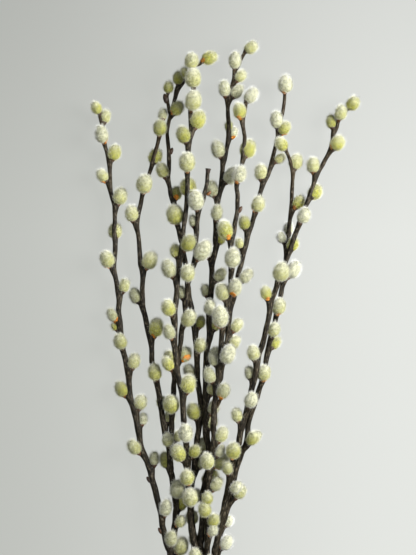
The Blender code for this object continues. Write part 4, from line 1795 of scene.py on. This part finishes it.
@dataclass(frozen=True)
class BarkFinish:
    """Dark willow bark: near-black brown with grey flecks of painted highlight, redder on young twigs,
    dotted with pale lenticels. The painted highlights and lenticels are drawn out along the stem, the
    relief most of all. A fade is the (start, end) of a mask, and a share is how much of its colour
    lies on the rest."""

    dark: tuple = (0.0036, 0.0030, 0.0017)
    light: tuple = (0.024, 0.0183, 0.0096)
    young: tuple = (0.037, 0.0225, 0.008)
    shoulder: tuple = (0.013, 0.010, 0.0045)
    # The pale flecks are painted highlights, standing in for the glints of the rough bark.
    painted_highlight: tuple = (0.165, 0.138, 0.094)
    lenticel: tuple = (0.12, 0.094, 0.062)
    patches: Patches = Patches(520.0, 1300.0, 0.4)
    ridges: Ridges = Ridges(900.0, 3200.0, 0.35, 0.9, 0.0009)
    drawn_out: tuple = (1.0, 1.0, 0.16)
    young_fade: tuple = (0.05, 0.55)
    young_share: float = 0.5
    shoulder_share: float = 0.5
    painted_highlight_stretch: tuple = (1.0, 1.0, 0.3)
    painted_highlight_scale: float = 850.0
    painted_highlight_fade: tuple = (0.54, 0.66)
    painted_highlight_share: float = 0.6
    lenticel_stretch: tuple = (1.0, 1.0, 0.55)
    lenticel_scale: float = 520.0
    lenticel_fade: tuple = (0.10, 0.2)
    lenticel_share: float = 0.55
    lenticel_height: float = 0.6
    roughness: tuple = (0.4, 0.65)
    gloss: float = 0.16

    def material(self, groups: SharedGroups) -> Material:
        """Build the material.

        Args:
            groups: the shared shader groups.

        Returns:
            The material.
        """
        sheet = MaterialSheet("bark", groups)
        grain = sheet.attribute("grain", "Vector")
        drawn_out = sheet.vector("MULTIPLY", grain, self.drawn_out)
        mottle = sheet.mottle(drawn_out, self.patches, self.dark, self.light)
        youth = sheet.ramp(sheet.attribute("age"), *self.young_fade, 1.0, 0.0)
        color = sheet.over(mottle["Color"], youth, self.young_share, self.young)
        color = sheet.over(color, sheet.attribute("shoulder"), self.shoulder_share, self.shoulder)
        # Painted highlights: pale flecks drawn out along the stem.
        noise = sheet.noise(sheet.vector("MULTIPLY", grain, self.painted_highlight_stretch), self.painted_highlight_scale, 2.0)
        color = sheet.over(color, sheet.ramp(noise, *self.painted_highlight_fade), self.painted_highlight_share, self.painted_highlight)
        cells = sheet.add(
            "ShaderNodeTexVoronoi",
            {"Vector": sheet.vector("MULTIPLY", grain, self.lenticel_stretch), "Scale": self.lenticel_scale},
        )["Distance"]
        dots = sheet.ramp(cells, *self.lenticel_fade, 1.0, 0.0)
        color = sheet.over(color, dots, self.lenticel_share, self.lenticel)
        raised = sheet.math("MULTIPLY", dots, self.lenticel_height)
        return sheet.shaded({
            "Base Color": color,
            "Normal": sheet.bump(drawn_out, self.ridges, raised),
            "Roughness": sheet.ramp(mottle["Mask"], 0.0, 1.0, *self.roughness),
            "Specular IOR Level": self.gloss,
        })


@dataclass(frozen=True)
class CutWoodFinish:
    """The fresh cut of a butt: pale damp wood round a darker pith, with the bark's green edge. The
    edge and the pith are (start, end) of their fade in metres from the middle."""

    wood: tuple = (0.62, 0.53, 0.34)
    ring: tuple = (0.45, 0.36, 0.20)
    edge: tuple = (0.16, 0.17, 0.06)
    pith: tuple = (0.20, 0.13, 0.07)
    edge_at: tuple = (0.0024, 0.0029)
    pith_at: tuple = (0.0004, 0.0007)
    patches: Patches = Patches(900.0, 3800.0, 0.5)
    ridges: Ridges = Ridges(2000.0, 6000.0, 0.4, 0.3, 0.0003)

    def material(self, groups: SharedGroups) -> Material:
        """Build the material.

        Args:
            groups: the shared shader groups.

        Returns:
            The material.
        """
        sheet = MaterialSheet("cut_wood", groups)
        flat = sheet.vector("MULTIPLY", sheet.attribute("grain", "Vector"), (1.0, 1.0, 0.0))
        away = sheet.add("ShaderNodeVectorMath", {0: flat}, operation="LENGTH")["Value"]
        mottle = sheet.mottle(flat, self.patches, self.ring, self.wood)
        color = sheet.mix(sheet.ramp(away, *self.edge_at), mottle["Color"], self.edge)
        color = sheet.mix(sheet.ramp(away, *self.pith_at, 1.0, 0.0), color, self.pith)
        return sheet.shaded(
            {"Base Color": color, "Normal": sheet.bump(flat, self.ridges), "Roughness": 0.7}
        )


@dataclass(frozen=True)
class CoreFinish:
    """The catkin's body: yellow green florets between grey felt, paler to the tip, with painted shading."""

    green: tuple = (0.48, 0.48, 0.06)
    # The darker florets' colour, also the colour of the painted shading.
    olive: tuple = (0.15, 0.155, 0.025)
    felt: tuple = (0.70, 0.70, 0.50)
    grey: tuple = (0.26, 0.265, 0.17)
    green_patches: Patches = Patches(420.0, 1500.0, 0.5)
    felt_patches: Patches = Patches(380.0, 1700.0, 0.4)
    ridges: Ridges = Ridges(900.0, 2600.0, 0.3, 0.5, 0.0008)

    def material(self, groups: SharedGroups) -> Material:
        """Build the material.

        Args:
            groups: the shared shader groups.

        Returns:
            The material.
        """
        sheet = MaterialSheet("catkin_core", groups)
        place = sheet.place()
        green = sheet.mottle(place, self.green_patches, self.olive, self.green)
        felt = sheet.mottle(place, self.felt_patches, self.grey, self.felt)
        paler = sheet.ramp(sheet.attribute("along"), 0.35, 1.0, 0.0, 0.55)
        share = sheet.math("MINIMUM", 1.0, sheet.math("ADD", sheet.attribute("tint"), paler))
        color = sheet.mix(share, green["Color"], felt["Color"])
        # Painted shading: the body goes darker where the catkin lies in shadow.
        color = sheet.over(color, sheet.attribute("painted_shade"), 0.6, self.olive)
        return sheet.shaded({
            "Base Color": color, "Normal": sheet.bump(place, self.ridges), "Roughness": 0.9,
            "Specular IOR Level": 0.15, "Sheen Weight": 0.9, "Sheen Roughness": 0.35,
        })


@dataclass(frozen=True)
class DownFinish:
    """Silver hairs, green at the root where pollen shows through, whiter to the hair's tip and to the
    catkin's, and darker with the catkin's painted shading."""

    white: tuple = (0.95, 0.955, 0.95)
    cream: tuple = (0.78, 0.77, 0.40)
    green: tuple = (0.42, 0.42, 0.08)
    ash: tuple = (0.44, 0.44, 0.33)
    # The colour of the painted shading on the hairs.
    shaded: tuple = (0.24, 0.245, 0.12)
    green_patches: Patches = Patches(260.0, 800.0, 0.3)
    silver_patches: Patches = Patches(260.0, 800.0, 0.4)

    def material(self, groups: SharedGroups) -> Material:
        """Build the material.

        Args:
            groups: the shared shader groups.

        Returns:
            The material.
        """
        sheet = MaterialSheet("down", groups)
        place = sheet.place()
        green = sheet.mottle(place, self.green_patches, self.green, self.cream)
        silver = sheet.mottle(place, self.silver_patches, self.ash, self.white)
        tint = sheet.attribute("tint")
        share = sheet.math("MAXIMUM", tint, sheet.ramp(sheet.attribute("along"), 0.45, 1.0, 0.0, 0.7))
        color = sheet.mix(share, green["Color"], silver["Color"])
        color = sheet.mix(sheet.ramp(tint, 0.9, 1.0), color, self.white)
        color = sheet.mix(sheet.ramp(sheet.attribute("reach"), 0.2, 0.95, 0.0, 0.8), color, self.white)
        # Painted shading: the hairs go darker where the catkin lies in shadow.
        color = sheet.over(color, sheet.attribute("painted_shade"), 0.7, self.shaded)
        return sheet.shaded({
            "Base Color": color, "Roughness": 0.55, "Specular IOR Level": 0.35,
            "Sheen Weight": 0.5, "Sheen Roughness": 0.4,
        })


@dataclass(frozen=True)
class ScaleFinish:
    """Bud scales: dark brown cups and orange brown scales, thin and a little glossy."""

    dark: tuple = (0.030, 0.018, 0.011)
    brown: tuple = (0.13, 0.055, 0.018)
    orange: tuple = (0.76, 0.28, 0.012)
    dull: tuple = (0.55, 0.5, 0.45)
    patches: Patches = Patches(500.0, 2200.0, 0.4)
    ridges: Ridges = Ridges(1200.0, 4000.0, 0.4, 0.35, 0.0003)

    def material(self, groups: SharedGroups) -> Material:
        """Build the material.

        Args:
            groups: the shared shader groups.

        Returns:
            The material.
        """
        sheet = MaterialSheet("bud_scale", groups)
        place = sheet.place()
        tone = sheet.attribute("tone")
        shell = sheet.mix(sheet.ramp(tone, 0.0, 0.4), self.dark, self.brown)
        shell = sheet.mix(sheet.ramp(tone, 0.4, 0.9), shell, self.orange)
        mottle = sheet.mottle(place, self.patches, self.dull, (1.0, 1.0, 1.0))
        color = sheet.mix(1.0, shell, mottle["Color"], "MULTIPLY")
        return sheet.shaded(
            {"Base Color": color, "Normal": sheet.bump(place, self.ridges), "Roughness": 0.42}
        )


@dataclass(frozen=True)
class TableFinish:
    """A plain pale grey table that glows with painted light which only the camera sees and which lights
    nothing; it glows darker to the left and at the head, as painted shading. Both fades are given as
    (start, end) in metres."""

    # Painted light: the colour it glows with, darker at the left as painted shading than at the right.
    left: tuple = (0.465, 0.479, 0.448)
    right: tuple = (0.719, 0.736, 0.703)
    head: tuple = (0.84, 0.84, 0.84)
    top: tuple = (0.030, 0.0304, 0.0296)
    across: tuple = (-0.30, 0.22)
    upwards: tuple = (0.14, 0.40)
    painted_glow_strength: float = 1.0

    def material(self) -> Material:
        """Build the material.

        Returns:
            The material.
        """
        sheet = MaterialSheet("table")
        apart = sheet.add("ShaderNodeSeparateXYZ", {0: sheet.place()})
        # Painted light: it glows brighter to the right and darker at the head, as painted shading.
        painted_glow = sheet.mix(sheet.ramp(apart[0], *self.across), self.left, self.right)
        start, end = self.upwards
        upper = sheet.add("ShaderNodeMapRange", {0: apart[1], 1: start, 2: end})[0]
        painted_glow = sheet.vector("MULTIPLY", painted_glow, sheet.mix(upper, (1.0, 1.0, 1.0), self.head))
        # The painted light reaches camera rays only, so it lights nothing.
        seen = sheet.add("ShaderNodeLightPath")["Is Camera Ray"]
        return sheet.shaded({
            "Emission Color": painted_glow, "Emission Strength": sheet.math("MULTIPLY", seen, self.painted_glow_strength),
            "Base Color": self.top, "Roughness": 0.85, "Specular IOR Level": 0.2,
        })


@dataclass(frozen=True)
class SoftLight:
    """A square light that is turned to the middle of the bunch: where it hangs, the length of its side,
    its power in watts and its colour."""

    place: tuple
    size: float
    power: float
    color: tuple

    def hang(self, name: str) -> None:
        """Hang it.

        Args:
            name: its name.
        """
        data = bpy.data.lights.new(name, "AREA")
        data.shape = "SQUARE"
        data.size = self.size
        data.energy = self.power
        data.color = self.color
        made = linked(name, data)
        made.location = self.place
        aim = Vector((-0.02, 0.05, 0.0)) - Vector(self.place)
        made.rotation_euler = aim.to_track_quat("-Z", "Y").to_euler()


@dataclass
class Studio:
    """The camera, the table and the soft light.

    Args:
        lens: focal length in mm on a 36 mm frame.
        table_size: the table's width.
        key: the soft light from the right.
        fill: the light from above.
        ambient: strength of the light all round.
        backdrop: brightness of the room behind the table.
        room: the colour of both.
    """

    lens: float = 100.0
    table_size: float = 40.0
    key: SoftLight = SoftLight((1.0, 0.38, 0.78), 0.75, 38.0, (1.0, 0.992, 0.975))
    fill: SoftLight = SoftLight((-0.35, -0.2, 2.3), 1.6, 9.0, (0.95, 0.98, 1.0))
    ambient: float = 0.34
    backdrop: float = 0.66
    room: tuple = (0.97, 0.98, 1.0)

    def camera(self) -> None:
        """Hang the camera over the middle of the photograph's frame, looking straight down."""
        data = bpy.data.cameras.new("camera")
        data.lens = self.lens
        data.sensor_width = 36.0
        data.clip_end = 50.0
        above = FRAME_ROWS * PIXEL * self.lens / data.sensor_width
        made = linked("camera", data)
        middle = at(FRAME_COLUMNS / 2, FRAME_ROWS / 2, 0)
        made.location = (middle.x, middle.y, above + 18 * MM)
        bpy.context.scene.camera = made

    def table(self, material: Material) -> None:
        """Lay the table top at the bunch's lowest point.

        Args:
            material: its finish.
        """
        half = self.table_size / 2
        mesh = bpy.data.meshes.new("table")
        corners = [(-half, -half, 0), (half, -half, 0), (half, half, 0), (-half, half, 0)]
        mesh.from_pydata(corners, [], [(0, 1, 2, 3)])
        mesh.materials.append(material)
        linked("table", mesh)

    def build(self) -> None:
        """Set up everything but the table."""
        self.camera()
        self.key.hang("key")
        self.fill.hang("fill")
        world = bpy.data.worlds.new("soft_room")
        world.use_nodes = True
        sheet = NodeSheet(world.node_tree)
        background = world.node_tree.nodes["Background"]
        seen = sheet.add("ShaderNodeLightPath")["Is Camera Ray"]
        sheet.put(background.inputs["Color"], self.room)
        sheet.put(background.inputs["Strength"], sheet.ramp(seen, 0.0, 1.0, self.ambient, self.backdrop))
        bpy.context.scene.world = world
        bpy.context.scene.view_settings.view_transform = "Standard"


class Bunch:
    """The whole bunch: its layout, its builders and its finishes."""

    FINE_STEP = 1.5 * MM
    TINT_CHANCE = 0.06
    PAINTED_SHADE_CHANCE = 0.08

    def __init__(self) -> None:
        """Build the shared groups, the materials and the tree that grows the down."""
        groups = SharedGroups()
        finishes = (BarkFinish(), CutWoodFinish(), CoreFinish(), DownFinish(), ScaleFinish())
        self.bark, self.cut_wood, self.core, self.hair, self.scale = (
            finish.material(groups) for finish in finishes
        )
        self.layout = Layout()
        self.wood = Wood()
        self.cores = Cores()
        self.scales = Scales()
        self.down = Down()
        self.down_tree = self.down.tree()

    def dress(self, name: str, catkins: Sequence[Sequence[Catkin]]) -> None:
        """Give each catkin of a branch its own tint, painted shading and slimness.

        Args:
            name: the branch's name.
            catkins: the catkins on each of its stems.
        """
        draw = Random(f"{SEED} {name} tones")
        for on_stem in catkins:
            for catkin in on_stem:
                chance = draw.choice(list(Tone))
                tint, painted_shade, catkin.slimness = (catkin.tone or chance).value
                tint += draw.uniform(-self.TINT_CHANCE, self.TINT_CHANCE)
                # Painted shading, a little different from catkin to catkin.
                painted_shade += draw.uniform(-self.PAINTED_SHADE_CHANCE, self.PAINTED_SHADE_CHANCE)
                catkin.tint, catkin.painted_shade = (min(1.0, max(0.0, value)) for value in (tint, painted_shade))

    def branch(self, name: str, number: int) -> List[Object]:
        """Build one branch's pieces and fit them to the frame.

        Args:
            name: the branch's name, as its solid's in the frame.
            number: its number.

        Returns:
            The pieces.
        """
        fine = [Stem(shoot, self.FINE_STEP, 0) for shoot in BRANCHES[name]]
        catkins = self.layout.catkins[name]
        for stem, on_stem in zip(fine, catkins):
            for catkin in on_stem:
                catkin.move_to(stem)
        self.dress(name, catkins)
        every = [catkin for on_stem in catkins for catkin in on_stem]
        wood = self.wood.build(name, fine, catkins, self.bark, self.cut_wood)
        bodies = self.cores.build(name, every, self.core)
        scales = self.scales.build(name, fine, catkins, self.scale)
        down = self.down.build(name, bodies, self.down_tree, self.hair, number)
        for piece, slot in ((wood, "bark"), (bodies, "down"), (scales, "bud_scale"), (down, "down")):
            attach(piece, "root")
            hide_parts(name)
        return [wood, bodies, scales, down]


def main() -> None:
    """Load the frame, build the bunch on it and set up the studio."""
    logging.basicConfig(level=logging.INFO, format="%(name)s: %(message)s")
    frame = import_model()
    LOG.info("frame: %d nodes", len(frame["nodes"]))
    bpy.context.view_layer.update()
    studio = Studio()
    studio.build()
    bunch = Bunch()
    bunch.layout.plan()
    total = 0
    for number, name in enumerate(BRANCHES, 1):
        for piece in bunch.branch(name, number):
            triangles = sum(len(face.vertices) - 2 for face in piece.data.polygons)
            total += triangles
            LOG.info("%s: %d triangles", piece.name, triangles)
    LOG.info("all: %d triangles", total)
    studio.table(TableFinish().material())


if __name__ == "__main__":
    main()
